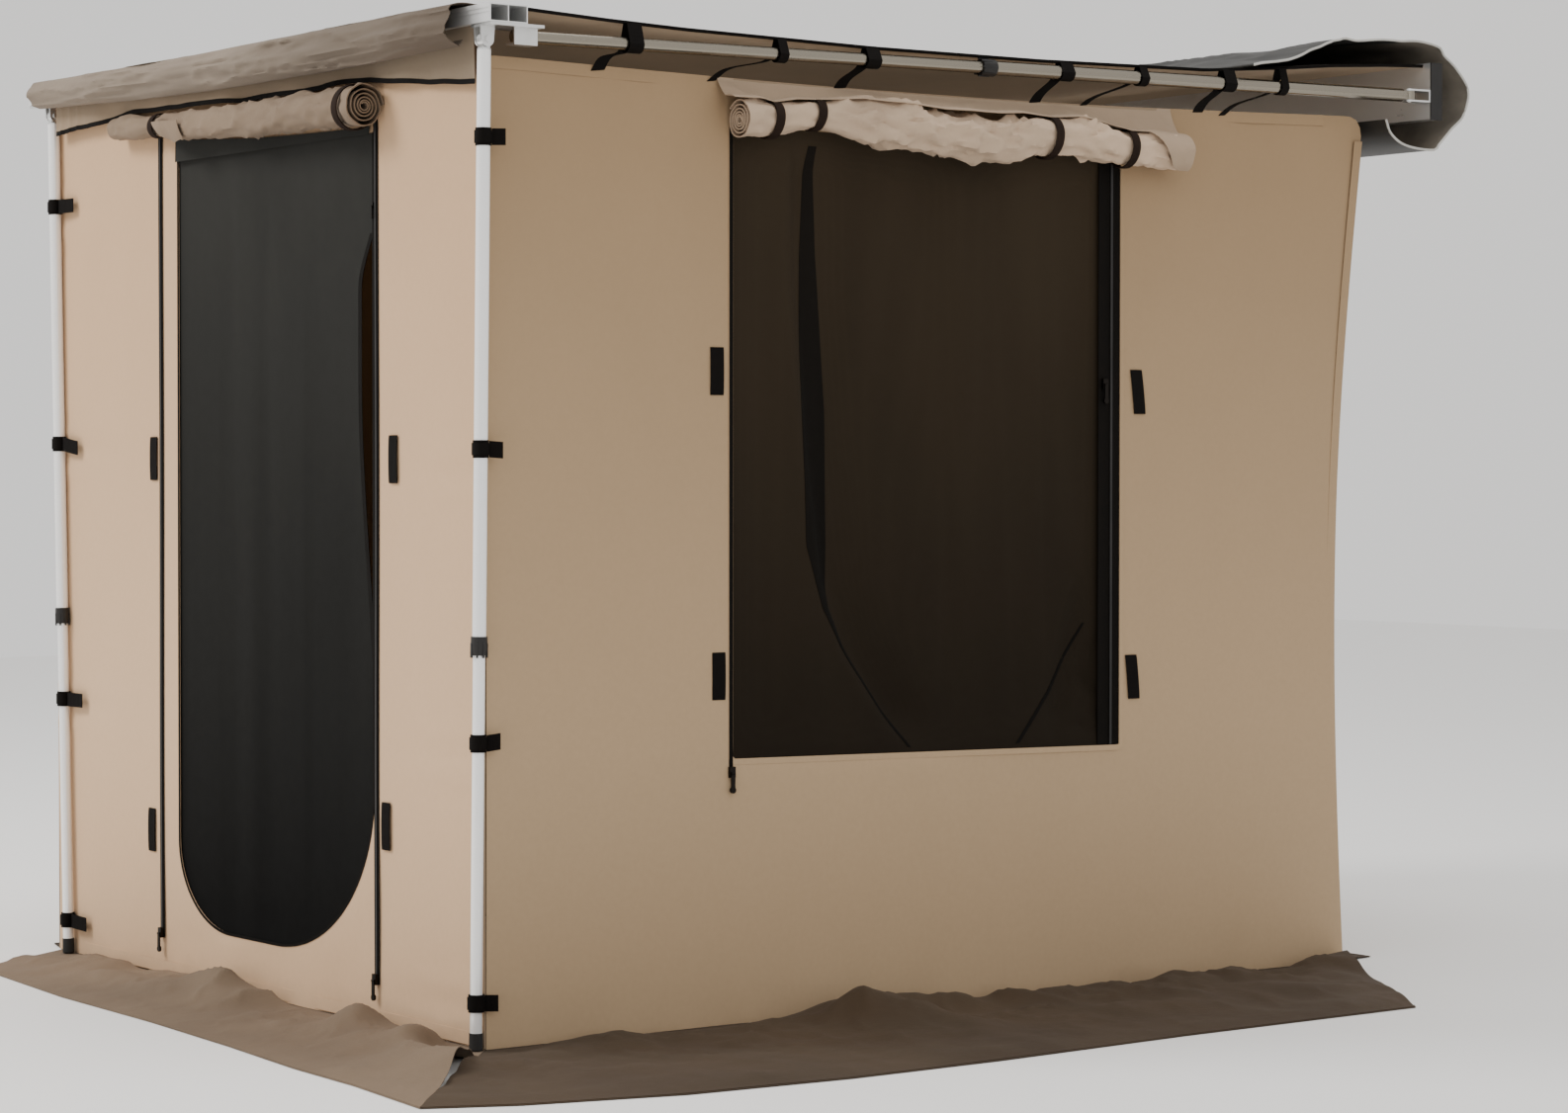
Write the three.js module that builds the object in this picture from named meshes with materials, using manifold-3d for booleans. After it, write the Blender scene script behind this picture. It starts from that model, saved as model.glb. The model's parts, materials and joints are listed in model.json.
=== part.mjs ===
// Vehicle side awning with its awning room, set up beside a vehicle.
// Lengths are in millimetres. +X runs along the vehicle towards the window wall, +Y points at the
// vehicle and +Z is up. The origin is the middle of the face with which the centre rack bracket
// rests on a crossbar of the roof rack.

import * as THREE from "three";
import { mergeVertices } from "three/addons/utils/BufferGeometryUtils.js";
import Module from "manifold-3d";

const wasm = await Module();
wasm.setup();

// Gaps

const seat = 0.3; // between two pieces that rest on each other
const runningGap = 0.5; // round a pivot pin and beside a turning cheek
const overrun = 20; // how far a cutting tool passes the faces that it cuts

// Room

const groundDrop = 2067; // rack face down to the ground
const roomWidth = 1900; // across the outer faces of the side walls
const roomDepth = 2293; // outer face of the door wall to the vehicle wall at the ground
const wallThickness = 3;
const wallSetback = 214; // backing rail's front face to the vehicle wall at the ground
const wallLean = 60; // how much nearer the vehicle the vehicle wall's top is
const wallHollow = 57; // how far its middle hangs inwards from the straight line
const wallTopDrop = 132; // rack face down to the side wall's top at the vehicle
const wallTopFall = 14; // how much lower that top is at the front
const wallTopSag = 17.5; // how far it hangs below the straight line between
const wallCornerRadius = 45;

// Door in the front wall, and window in the side wall

const doorWidth = 857;
const doorShift = 93; // the door's middle from the wall's middle
const doorSillHeight = 124;
const doorTopDrop = 172; // front rail's underside down to the door's top
const doorFarCornerWidth = 237; // the rounded lower corner on the far side
const doorFarCornerHeight = 190;
const doorNearCornerWidth = 415;
const doorNearCornerHeight = 355;
const windowWidth = 1030;
const windowInset = 586; // front wall's outer face to the window's near edge
const windowSillHeight = 527; // at the vehicle end
const windowSillRise = 14; // how much higher the near end is
const windowTopDrop = 118; // side wall's top at the vehicle down to the window's top
const meshThickness = 2;
const meshLap = 9; // how far the mesh reaches behind the edge of its opening
const doorMeshSlack = 74; // how far the open edge of the door mesh hangs away from its zip
const doorMeshFold = 9;
const windowMeshFold = 24;

// Front rail

const frontRailReach = 81; // past the side walls' outer faces
const frontRailDepth = 86;
const frontRailHeight = 35;
const frontRailWall = 2.4;
const frontRailDrop = 56; // rack face down to the rail's top
const frontRailOverhang = 37; // beyond the front wall's outer face
const frontGroove = 3.2;

// Backing rail, end caps and rack brackets

const backRailReach = 56; // past the side walls' outer faces
const backRailDepth = 36;
const backRailHeight = 129;
const backRailWall = 2.6;
const backRailDrop = 4; // rack face down to the rail's top
const backSlotWidth = 9;
const backSlotInner = 17;
const backSlotDepth = 7;
const endCapThickness = 3;
const endCapLip = 2;
const bracketWidth = 50;
const bracketThickness = 5;
const bracketFlange = 56.5;
const bracketDrop = 66;
const bracketInset = 306; // backing rail's end to the middle of the outer brackets
const bracketHoleRadius = 4.5;
const bracketHoleSpacing = 30;
const bracketGusset = 14;
const boltHeadRadius = 8;
const boltHeadHeight = 5.5;

// Arms

const armOutset = 38; // side wall's outer face out to the arm's centre line
const armPinReach = 50; // backing rail's front face to the hinge pin
const armTipLap = 7; // past the front rail's back face
const armFall = 30;
const armDrop = 81; // rack face down to the window side arm's hinge
const armStack = 36; // how much lower the far arm lies, so that the two fold over each other
const armOuterRadius = 15;
const armOuterWall = 1.6;
const armInnerRadius = 13;
const armInnerWall = 1.5;
const armInnerHidden = 120; // length of the inner tube that stays inside the outer one
const armHeadRadius = 14;
const armHeadThickness = 20;
const armNeck = 26; // hinge pin to the start of the tube
const armPlug = 24;
const armPinRadius = 5;
const forkPlate = 4;
const forkWidth = 40;
const forkBase = 5;
const forkPinHead = 1.6;

// Twist locks on arms and legs

const armLockWall = 3;
const legLockWall = 2.5;
const lockLength = 36;
const lockRibs = 8;
const lockRibDepth = 1;
const lockRibWidth = 3.4;

// Legs

const legTopOutset = 31; // side wall's outer face out to the pivot of the window side leg
const legFootOutset = -3; // and out to its foot, so that it leans inwards
const farLegTopOutset = -16;
const farLegFootOutset = -82;
const legOffset = 18; // leg's centre line in front of the front wall's outer face
const legPivotDrop = 30; // front rail's underside down to the leg's pivot
const legUpperRadius = 13.5;
const legUpperWall = 1.2;
const legLowerRadius = 12;
const legLowerWall = 1.2;
const legOverlap = 153; // lower tube hidden in the upper one
const legHeadRadius = 13;
const legHeadThickness = 16;
const legNeck = 19; // pivot to the tube's top
const legPlug = 30;
const legPinRadius = 4;
const footHeight = 34;
const footWall = 1.2;
const footSole = 13;
const footPadHeight = 4;

// Corner brackets

const cornerPlate = 6;
const cornerMargin = 25; // plate past the leg's pivot
const cornerReach = 124;
const cheekThickness = 4;
const cheekHalfWidth = 14;
const cheekFlare = 16;
const clevisGap = 1.2; // beside the leg's tongue, which leans with the leg
const hookLength = 52;
const hookWall = 4;

// Canopy, with the excess rolled round the front rail, and valance

const canopyReach = 35; // past the side walls' outer faces
const canopyThickness = 2.5;
const canopyRearDrop = 8;
const canopySag = 41;
const wrapInset = 10; // inside the side walls' outer faces
const wrapBulge = 34;
const wrapDrop = 73; // rail's top down to the wrap's lower edge at the window end
const wrapFarDrop = 46;
const wrapSag = 15; // how far that edge hangs below the straight line between its ends
const wrapLayer = 8;
const wrapWrinkle = 5;
const wrapLift = 10; // how far the wrap's top rises and dips along the rail
const valanceLegGap = 30; // each leg's pivot to the valance's end
const valanceThickness = 2.4;
const valanceSetback = 12; // behind the front rail's front face
const valanceDrop = 108;
const valanceWave = 5;

// Skirts

const skirtThickness = 3;
const frontSkirtWidth = 340;
const windowSkirtWidth = 640;
const hiddenSkirtWidth = 110;
const skirtWave = 17;
const skirtGap = 1.5; // between two skirts that meet at a corner
const footClearance = 130; // flat strip of skirt on each side of a leg

// Rolled door and window flaps

const doorRollLength = 1160;
const doorRollRadius = 46; // at its window end
const doorRollDrop = 126; // front rail's underside down to the roll's axis at its window end
const doorRollRise = 38;
const doorRollShift = -5;
const windowRollLength = 1224;
const windowRollRadius = 54;
const windowRollDrop = 96; // side wall's top at the vehicle down to the roll's axis
const windowRollRise = 14;
const windowRollShift = 38;
const rollTurns = 2.25;
const rollCoreShare = 0.14;
const rollGapShare = 0.12;
const rollStrapWidth = 20;
const rollStrapThickness = 2.4;

// Zips

const zipWidth = 10;
const zipThickness = 2;
const zipInset = 15; // door's edge to the zip beside it
const meshSliderInset = 3; // door's edge to the mesh's own slider
const doorZipLeftInset = 84;
const zipBottomHeight = 84;
const zipTopDrop = 152;
const windowZipWidth = 60;
const windowZipTail = 24; // near zip's end below the sill
const sliderWidth = 14;
const sliderDepth = 7;
const sliderHeight = 22;
const pullWidth = 9;
const pullLength = 34;
const pullThickness = 2.4;
const meshSliderDrop = 155; // door's top down to the slider where the mesh comes loose

// Webbing

const legStrapHeight = 36;
const legStrapThickness = 2.2;
const legStrapGap = 0.7;
const legStrapFlag = 38; // leg's centre to the flag's end
const farLegStrapFlag = 88;
const legStrapInset = 8; // side wall's outer face to the strap's seam
const legFlagAngle = Math.PI / 3;
const tabWidth = 32;
const tabHeight = 96;
const tabThickness = 2;
const armStrapThickness = 1.6;
const armStrapWide = 34;
const armStrapNarrow = 22;
const armStrapTape = 14;
const armStrapSlack = 2.5; // round the outer tube
const armStrapHang = 1; // canopy down to the tape that the straps are sewn to

// Bag

const bagThickness = 2;
const bagEndReach = 9; // past the backing rail's ends
const bagBracketGap = 26; // rack bracket's edge to where the bag's end starts to bulge
const bagFlap = 560;
const bagCrown = 46;
const bagDepth = 72;
const bagReach = 150;
const bagLip = 62;
const bagEndBulge = 78;

// Shares of the sizes above, chosen by eye

const legStrapShares = [0.852, 0.563, 0.289, 0.046]; // of groundDrop, from the ground up
const farLegStrapShares = [0.839, 0.573, 0.287, 0.039];
const canopySagShares = [
  [0, 0],
  [0.05, 0.09],
  [0.114, 0.28],
  [0.176, 0.57],
  [0.273, 0.95],
  [0.468, 1],
  [0.648, 0.87],
  [0.841, 0.52],
  [0.915, 0.31],
  [1, 0],
]; // along the canopy and of canopySag
const armOuterShare = 0.518; // of the arm's length
const legUpperShare = 0.5889; // of the leg pivot's height above the ground
const wideStrapShares = [0.886, 0.643, 0.428, 0.234]; // along the arm
const narrowStrapShares = [0.738, 0.338, 0.167];
const wideTailShare = 0.018; // of armLength, how far a strap's tail slants to the front
const narrowTailShare = 0.06;
const doorTabShares = [
  [-0.24, 0.556],
  [0.318, 0.554],
  [-0.247, 0.155],
  [0.302, 0.197],
]; // across roomWidth from the middle, and up groundDrop
const windowTabShares = [
  [0.238, 0.64],
  [0.727, 0.627],
  [0.24, 0.343],
  [0.721, 0.326],
]; // along roomDepth from the front, and up groundDrop
const flatShare = 0.045; // of a skirt's width, flat under the wall
const bagPlainShares = [0, 0.35, 0.7, 1]; // of the stretch between the bulging ends
const bagBulgeShares = [0.38, 0.7, 1]; // of a bulging end
const valanceDropShares = [
  [0, 0.69],
  [0.09, 0.67],
  [0.19, 0.48],
  [0.33, 0.57],
  [0.5, 0.63],
  [0.62, 0.66],
  [0.72, 0.62],
  [0.78, 0.66],
  [0.84, 0.79],
  [0.93, 0.9],
  [1, 1],
]; // along the valance and of valanceDrop
const wrapLiftShares = [
  [-1, 1],
  [-0.63, 0.5],
  [-0.13, -0.4],
  [0.34, -1.4],
  [0.77, -0.7],
  [1, -0.4],
]; // across the awning and of wrapLift
const frontSkirtShares = [
  [0, 0.87],
  [0.07, 0.9],
  [0.24, 1],
  [0.44, 1.03],
  [0.62, 1.1],
  [0.76, 1.18],
  [0.87, 1.2],
  [1, 1.28],
]; // along the skirt's outer edge and of frontSkirtWidth
const windowSkirtShares = [
  [0, 0.775],
  [0.07, 0.89],
  [0.2, 1.01],
  [0.35, 1.055],
  [0.5, 1.05],
  [0.72, 1],
  [1, 0.975],
]; // along the skirt's outer edge and of windowSkirtWidth
const meshSliderShare = 0.6; // of the other sliders' size
const doorRollTaperShare = 0.5; // of the radius, at its far end
const meshStraightShare = 0.55; // of the door mesh's rows, above its rounded corners
const meshFootShare = 1.1; // by how much the door mesh's folds run out above its foot
const meshRippleShare = 0.6; // of doorMeshFold, either way
const meshSlackShares = { start: 0.09, rise: 0.1, end: 0.3, fall: 0.45 }; // of its height
const windowRimShare = 0.12; // of the window mesh, flat along its edges
const windowFoldShares = { place: 0.2, lean: 0.22, width: 0.07, depth: 0.7 };
const windowCornerShares = { lean: 0.35, width: 0.09, depth: 0.5 };
const windowRippleShare = 0.15; // of windowMeshFold
const windowSliderShare = 0.6; // up the window
const windowSliderPlaceShare = 0.75; // of windowZipWidth, from the window's edge
const pullHingeShare = 0.4; // of sliderHeight
const pullKnobShare = 0.75; // of pullWidth
const doorRollStrapShares = [0.184, 0.955];
const doorRollSagShare = 0.2; // of its radius
const doorRollSwellShare = 0.05;
const windowRollStrapShares = [0.119, 0.184, 0.731, 0.938];
const windowRollSagShare = 0.16;
const windowRollSwellShare = 0.03;
const rollEdgeShare = 0.3; // of a layer's thickness, at the flap's edge
const rollPinchShare = 0.16; // of the radius, drawn in under a strap
const rollPinchWidthShare = 0.035; // of the length
const rollSwellShares = { start: 0.88, length: 0.1 }; // of the length, where its end opens
const rollDroopShare = 0.22; // of the length
const rollWaistShare = 0.86; // of the radius, inside a strap
const skirtHumpShare = 1.3;
const skirtRippleShares = [0.5, 0.28, 0.22];
const frontSkirtStartShare = 0.6; // of frontSkirtWidth, cut off at the far corner
const windowSkirtEndShare = 0.62; // of windowSkirtWidth, cut off at the vehicle
const farSkirtEndShare = 0.3; // of hiddenSkirtWidth
const vehicleSkirtEndShare = 0.2;
const hiddenWaveShare = 0.7; // of skirtWave
const wrapEdgeShare = 0.4; // of wrapLayer
const wrapWrinkleShare = 0.22;
const wrapSectionShares = [
  [0.45, 0.01, 0.8],
  [0.95, 0.28, 0.8],
  [1, 0.55, 0.4],
  [0.75, 0.82, 0],
  [0.25, 1, 0],
]; // of its bulge, of its drop and of its lift
const valanceRippleShare = 0.4; // of valanceWave, up and down
const frontGrooveShares = [0.28, 0.52]; // down frontRailHeight
const bagSectionShares = {
  hem: [0.8, 0.35], // of bagFlap from the rail, and of bagCrown above the canopy
  crown: [0.55, 1],
  fold: [0.3, 0.8], // of bagFlap from the rail, and of bagCrown
  rear: [0.1, 0.9],
  top: [0.5, 0.7], // of backRailDepth, and of bagCrown
  shoulder: 0.3, // of bagCrown
  upper: [0.5, 0.08], // of the end's bulge, and of backRailHeight down from its top
  widest: [1, 0.45],
  lower: [0.8, 0.1], // of the end's bulge, and of backRailHeight up from its underside
  heel: [0.3, 0.3], // of the end's bulge, and of bagDepth
  sole: [0.4, 0.2], // of backRailDepth, and of bagDepth
  belly: [0.55, 0.08], // of bagReach, and of bagDepth
  toe: [0.12, 0.4],
};
const legPinHeadShare = 1.8; // of the pin's radius
const armNeckShare = 0.8; // of the hinge head's thickness
const lockBackShare = 0.62; // of lockLength, over the outer tube
const lockRimShare = 0.6; // of lockRibDepth
const lockRibShares = { front: 0.7, back: 0.82 }; // of the lock in front and behind
const strapTailShare = 0.6; // up the loop, where a tail leaves it
const strapTailThinShare = 0.7; // of armStrapThickness
const strapFlagShare = 0.9; // of legStrapHeight

// Waves of the cloth, in radians along a piece

const bagWaves = 9;
const wrapWaves = [7, 17];
const valanceWaves = 29;
const doorMeshWaves = [11, 3]; // across and down
const skirtWaves = [
  [23, 4],
  [51, -3],
]; // along and out
const rollTwistShare = 0.35; // of a radian, from one end of the roll to the other

// Places worked out from the sizes

const groundZ = -groundDrop;
const bagBackY = -bracketFlange / 2 - seat;
const backRailBackY = bagBackY - bagThickness - seat;
const backRailFrontY = backRailBackY - backRailDepth;
const backRailLength = roomWidth + 2 * backRailReach;
const bracketSpacing = backRailLength / 2 - bracketInset;
const backRailTopZ = -backRailDrop;
const backRailBottomZ = backRailTopZ - backRailHeight;
const vehicleWallY = backRailFrontY - wallSetback;
const frontWallY = vehicleWallY - roomDepth;
const sideX = roomWidth / 2;
const wallBottomZ = groundZ + skirtThickness + seat;
const frontRailY = frontWallY - frontRailOverhang;
const frontRailBackY = frontRailY + frontRailDepth;
const frontRailTopZ = -frontRailDrop;
const frontRailBottomZ = frontRailTopZ - frontRailHeight;
const armPinY = backRailFrontY - armPinReach;
const armX = sideX + armOutset;
const armRun = armPinY - frontRailBackY + armTipLap;
const armSlope = Math.atan2(armFall, armRun);
const armLength = Math.hypot(armRun, armFall);
const armOuterLength = armLength * armOuterShare;
const frontRailLength = roomWidth + 2 * frontRailReach;
const legY = frontWallY - legOffset;
const legPivotZ = frontRailBottomZ - legPivotDrop;
const legUpperLength = (legPivotZ - groundZ) * legUpperShare;
const legTopX = sideX + legTopOutset;
const legFootX = sideX + legFootOutset;
const farLegTopX = sideX + farLegTopOutset;
const farLegFootX = sideX + farLegFootOutset;
const doorLeftX = doorShift - doorWidth / 2;
const doorRightX = doorShift + doorWidth / 2;
const doorSillZ = groundZ + doorSillHeight;
const doorTopZ = frontRailBottomZ - doorTopDrop;
const windowNearY = frontWallY + windowInset;
const windowFarY = windowNearY + windowWidth;
const windowSillZ = groundZ + windowSillHeight;
const windowTopZ = -wallTopDrop - windowTopDrop;

// Materials

function material(color, roughness, metalness) {
  return new THREE.MeshStandardMaterial({ color, roughness, metalness });
}

const canvasLight = material(0xc4b29c, 0.9, 0);
const canvasSide = material(0x9d896e, 0.9, 0);
const canvasCanopy = material(0x8f8373, 0.85, 0);
const canvasSkirt = material(0x7d6e5d, 0.8, 0);
const meshDoorCloth = material(0x3a3937, 0.95, 0);
const meshWindowCloth = material(0x2d2623, 0.95, 0);
const webbing = material(0x1e1712, 0.9, 0);
const aluminium = material(0xb9bfbd, 0.35, 0.9);
const castAlloy = material(0xc9cbca, 0.3, 0.85);
const blackPlastic = material(0x151312, 0.5, 0);
const rubberBlack = material(0x101010, 0.8, 0);
const bagCloth = material(0x121111, 0.6, 0);
const powderBlack = material(0x161616, 0.5, 0.4);
const zipMetal = material(0x6b6761, 0.4, 0.7);

// Solids

function solidOf(geometry) {
  const bare = geometry.clone();
  bare.deleteAttribute("normal");
  bare.deleteAttribute("uv");
  const merged = mergeVertices(bare, 1e-4);
  return new wasm.Manifold(
    new wasm.Mesh({
      numProp: 3,
      vertProperties: merged.attributes.position.array,
      triVerts: new Uint32Array(merged.index.array),
    }),
  );
}

function geometryOf(solid) {
  const mesh = solid.getMesh();
  const geometry = new THREE.BufferGeometry();
  geometry.setAttribute("position", new THREE.BufferAttribute(mesh.vertProperties, 3));
  geometry.setIndex(new THREE.BufferAttribute(mesh.triVerts, 1));
  const flat = geometry.toNonIndexed();
  flat.computeVertexNormals();
  return flat;
}

function join(first, ...others) {
  return geometryOf(others.reduce((sum, next) => sum.add(solidOf(next)), solidOf(first)));
}

function cut(first, ...tools) {
  return geometryOf(tools.reduce((rest, tool) => rest.subtract(solidOf(tool)), solidOf(first)));
}

function signedVolume(positions, index) {
  const a = new THREE.Vector3();
  const b = new THREE.Vector3();
  const c = new THREE.Vector3();
  let total = 0;
  for (let i = 0; i < index.length; i += 3) {
    a.fromArray(positions, 3 * index[i]);
    b.fromArray(positions, 3 * index[i + 1]);
    c.fromArray(positions, 3 * index[i + 2]);
    total += a.dot(b.cross(c));
  }
  return total;
}

// A closed geometry from points and triangles, turned so that its faces point out.
function closedGeometry(points, index) {
  const positions = new Float32Array(points.flatMap((p) => [p.x, p.y, p.z]));
  const faces = [...index];
  if (signedVolume(positions, faces) < 0) faces.reverse();
  const geometry = new THREE.BufferGeometry();
  geometry.setAttribute("position", new THREE.BufferAttribute(positions, 3));
  geometry.setIndex(faces);
  const flat = geometry.toNonIndexed();
  flat.computeVertexNormals();
  return flat;
}

function block(x0, x1, y0, y1, z0, z1) {
  const box = new THREE.BoxGeometry(Math.abs(x1 - x0), Math.abs(y1 - y0), Math.abs(z1 - z0));
  return box.translate((x0 + x1) / 2, (y0 + y1) / 2, (z0 + z1) / 2);
}

// A round bar between two points.
function bar(radius, from, to, sides = 20) {
  const along = new THREE.Vector3().subVectors(to, from);
  const turn = new THREE.Quaternion().setFromUnitVectors(
    new THREE.Vector3(0, 1, 0),
    along.clone().normalize(),
  );
  const middle = new THREE.Vector3().addVectors(from, to).multiplyScalar(1 / 2);
  return new THREE.CylinderGeometry(radius, radius, along.length(), sides)
    .applyQuaternion(turn)
    .translate(middle.x, middle.y, middle.z);
}

// A round tube along Z, open at both ends.
function tube(outerRadius, innerRadius, z0, z1, sides = 20) {
  const ring = new THREE.Shape().absarc(0, 0, outerRadius, 0, 2 * Math.PI);
  ring.holes.push(new THREE.Path().absarc(0, 0, innerRadius, 0, 2 * Math.PI));
  const settings = { depth: z1 - z0, bevelEnabled: false, curveSegments: sides / 2 };
  return new THREE.ExtrudeGeometry(ring, settings).translate(0, 0, z0);
}

// A profile drawn across Y and Z, extruded along X about the middle.
function extrudeAlongX(shape, length, curveSegments = 8) {
  const settings = { depth: length, bevelEnabled: false, curveSegments };
  const geometry = new THREE.ExtrudeGeometry(shape, settings);
  const axes = new THREE.Matrix4().makeBasis(
    new THREE.Vector3(0, 1, 0),
    new THREE.Vector3(0, 0, 1),
    new THREE.Vector3(1, 0, 0),
  );
  return geometry.applyMatrix4(axes).translate(-length / 2, 0, 0);
}

// A wall panel drawn across X and Z, its outer face at y, growing towards the vehicle.
function panelAcrossX(shape, y, thickness, curveSegments = 8) {
  const settings = { depth: thickness, bevelEnabled: false, curveSegments };
  return new THREE.ExtrudeGeometry(shape, settings)
    .rotateX(Math.PI / 2)
    .translate(0, y + thickness, 0);
}

// A thin closed sheet: face(u, v) is a point of one face and depth(u, v) the way to the other.
function sheetSolid(columns, rows, face, depth) {
  const points = [];
  for (const side of [0, 1]) {
    for (let j = 0; j <= rows; j += 1) {
      for (let i = 0; i <= columns; i += 1) {
        const u = i / columns;
        const v = j / rows;
        points.push(face(u, v).clone().addScaledVector(depth(u, v), side));
      }
    }
  }
  const at = (side, i, j) => (side * (rows + 1) + j) * (columns + 1) + i;
  const index = [];
  const quad = (a, b, c, d) => index.push(a, b, c, a, c, d);
  for (let j = 0; j < rows; j += 1) {
    for (let i = 0; i < columns; i += 1) {
      quad(at(0, i, j), at(0, i + 1, j), at(0, i + 1, j + 1), at(0, i, j + 1));
      quad(at(1, i, j), at(1, i, j + 1), at(1, i + 1, j + 1), at(1, i + 1, j));
    }
  }
  for (let i = 0; i < columns; i += 1) {
    quad(at(0, i, 0), at(1, i, 0), at(1, i + 1, 0), at(0, i + 1, 0));
    quad(at(0, i + 1, rows), at(1, i + 1, rows), at(1, i, rows), at(0, i, rows));
  }
  for (let j = 0; j < rows; j += 1) {
    quad(at(0, 0, j + 1), at(1, 0, j + 1), at(1, 0, j), at(0, 0, j));
    quad(at(0, columns, j), at(1, columns, j), at(1, columns, j + 1), at(0, columns, j + 1));
  }
  return closedGeometry(points, index);
}

// A solid through equal rings of points. flatten gives the two coordinates that cap it.
function loftSolid(rings, flatten) {
  const count = rings[0].length;
  const points = rings.flat();
  const index = [];
  for (let k = 0; k + 1 < rings.length; k += 1) {
    for (let i = 0; i < count; i += 1) {
      const next = (i + 1) % count;
      const a = k * count + i;
      const b = k * count + next;
      index.push(a, b, b + count, a, b + count, a + count);
    }
  }
  const contour = rings[0].map(flatten);
  const clockwise = THREE.ShapeUtils.isClockWise(contour);
  const last = (rings.length - 1) * count;
  const firstCap = THREE.ShapeUtils.triangulateShape(contour, []);
  const lastCap = THREE.ShapeUtils.triangulateShape(rings[rings.length - 1].map(flatten), []);
  for (const [a, b, c] of firstCap) {
    if (clockwise) index.push(a, b, c);
    else index.push(a, c, b);
  }
  for (const [a, b, c] of lastCap) {
    if (clockwise) index.push(last + a, last + c, last + b);
    else index.push(last + a, last + b, last + c);
  }
  return closedGeometry(points, index);
}

// The closed outline of a ribbon that follows a path with a thickness at each of its points.
function ribbonOutline(path, thicknessAt) {
  const left = [];
  const right = [];
  path.forEach((point, i) => {
    const before = path[Math.max(i - 1, 0)];
    const after = path[Math.min(i + 1, path.length - 1)];
    const normal = new THREE.Vector2(before.y - after.y, after.x - before.x).normalize();
    const half = thicknessAt(i / (path.length - 1)) / 2;
    left.push(point.clone().addScaledVector(normal, half));
    right.push(point.clone().addScaledVector(normal, -half));
  });
  return [...left, ...right.reverse()];
}

function smooth(value) {
  const t = Math.min(Math.max(value, 0), 1);
  return t * t * (3 - 2 * t);
}

// The value of a table of [place, value] pairs at a place, eased between its points.
function eased(table, place) {
  for (let i = 1; i < table.length; i += 1) {
    const [x0, y0] = table[i - 1];
    const [x1, y1] = table[i];
    if (place <= x1) return y0 + (y1 - y0) * ((place - x0) / (x1 - x0));
  }
  return table[table.length - 1][1];
}

// The object and its pieces

const awning = new THREE.Group();

function piece(name, geometry, look, parent = awning) {
  const mesh = new THREE.Mesh(geometry, look);
  mesh.name = name;
  parent.add(mesh);
  return mesh;
}

// Backing rail: an aluminium board with two hollow chambers and a bolt slot in its back

function backRailShape() {
  const shape = new THREE.Shape();
  const midZ = (backRailTopZ + backRailBottomZ) / 2;
  const slotHalf = backSlotWidth / 2;
  const innerHalf = backSlotInner / 2;
  const lipY = backRailBackY - backRailWall;
  const floorY = lipY - backSlotDepth;
  shape.moveTo(backRailFrontY, backRailBottomZ);
  shape.lineTo(backRailBackY, backRailBottomZ);
  shape.lineTo(backRailBackY, midZ - slotHalf);
  shape.lineTo(lipY, midZ - slotHalf);
  shape.lineTo(lipY, midZ - innerHalf);
  shape.lineTo(floorY, midZ - innerHalf);
  shape.lineTo(floorY, midZ + innerHalf);
  shape.lineTo(lipY, midZ + innerHalf);
  shape.lineTo(lipY, midZ + slotHalf);
  shape.lineTo(backRailBackY, midZ + slotHalf);
  shape.lineTo(backRailBackY, backRailTopZ);
  shape.lineTo(backRailFrontY, backRailTopZ);
  shape.closePath();
  return shape;
}

function backRail() {
  const midZ = (backRailTopZ + backRailBottomZ) / 2;
  const webHalf = backSlotInner / 2 + backRailWall;
  const reach = backRailLength / 2 + overrun;
  const chambers = [
    [backRailBottomZ + backRailWall, midZ - webHalf],
    [midZ + webHalf, backRailTopZ - backRailWall],
  ].map(([z0, z1]) =>
    block(-reach, reach, backRailFrontY + backRailWall, backRailBackY - backRailWall, z0, z1),
  );
  return cut(extrudeAlongX(backRailShape(), backRailLength), ...chambers);
}

piece("backing_rail", backRail(), aluminium);

for (const [name, side] of [
  ["backing_rail_cap_window", 1],
  ["backing_rail_cap_far", -1],
]) {
  const capX = side * (backRailLength / 2 + seat);
  const cap = block(
    capX,
    capX + side * endCapThickness,
    backRailFrontY,
    backRailBackY,
    backRailBottomZ - endCapLip,
    backRailTopZ,
  );
  piece(name, cap, blackPlastic);
}

// Rack brackets: an angle with a flange that rests on the crossbar, and its two rail bolts

function rackBracket(x) {
  const half = bracketWidth / 2;
  const plateY = -bracketFlange / 2;
  const innerY = plateY + bracketThickness;
  const profile = new THREE.Shape();
  profile.moveTo(plateY, -bracketDrop);
  profile.lineTo(innerY, -bracketDrop);
  profile.lineTo(innerY, -bracketGusset);
  profile.lineTo(innerY + bracketGusset, 0);
  profile.lineTo(plateY + bracketFlange, 0);
  profile.lineTo(plateY + bracketFlange, bracketThickness);
  profile.lineTo(plateY, bracketThickness);
  profile.closePath();
  const holes = [-1, 1].map((side) => {
    const holeX = (side * bracketHoleSpacing) / 2;
    const bottom = new THREE.Vector3(holeX, 0, -overrun / 4);
    const top = new THREE.Vector3(holeX, 0, bracketThickness + overrun);
    return bar(bracketHoleRadius, bottom, top, 12);
  });
  const bolts = [-1, 1].map((side) => {
    const boltX = (side * bracketHoleSpacing) / 2;
    const boltZ = -bracketDrop + boltHeadRadius + bracketThickness;
    const start = new THREE.Vector3(boltX, innerY - bracketThickness / 2, boltZ);
    const end = new THREE.Vector3(boltX, innerY + boltHeadHeight, boltZ);
    return bar(boltHeadRadius, start, end, 6);
  });
  const angle = cut(extrudeAlongX(profile, 2 * half), ...holes);
  return join(angle, ...bolts).translate(x, 0, 0);
}

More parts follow.
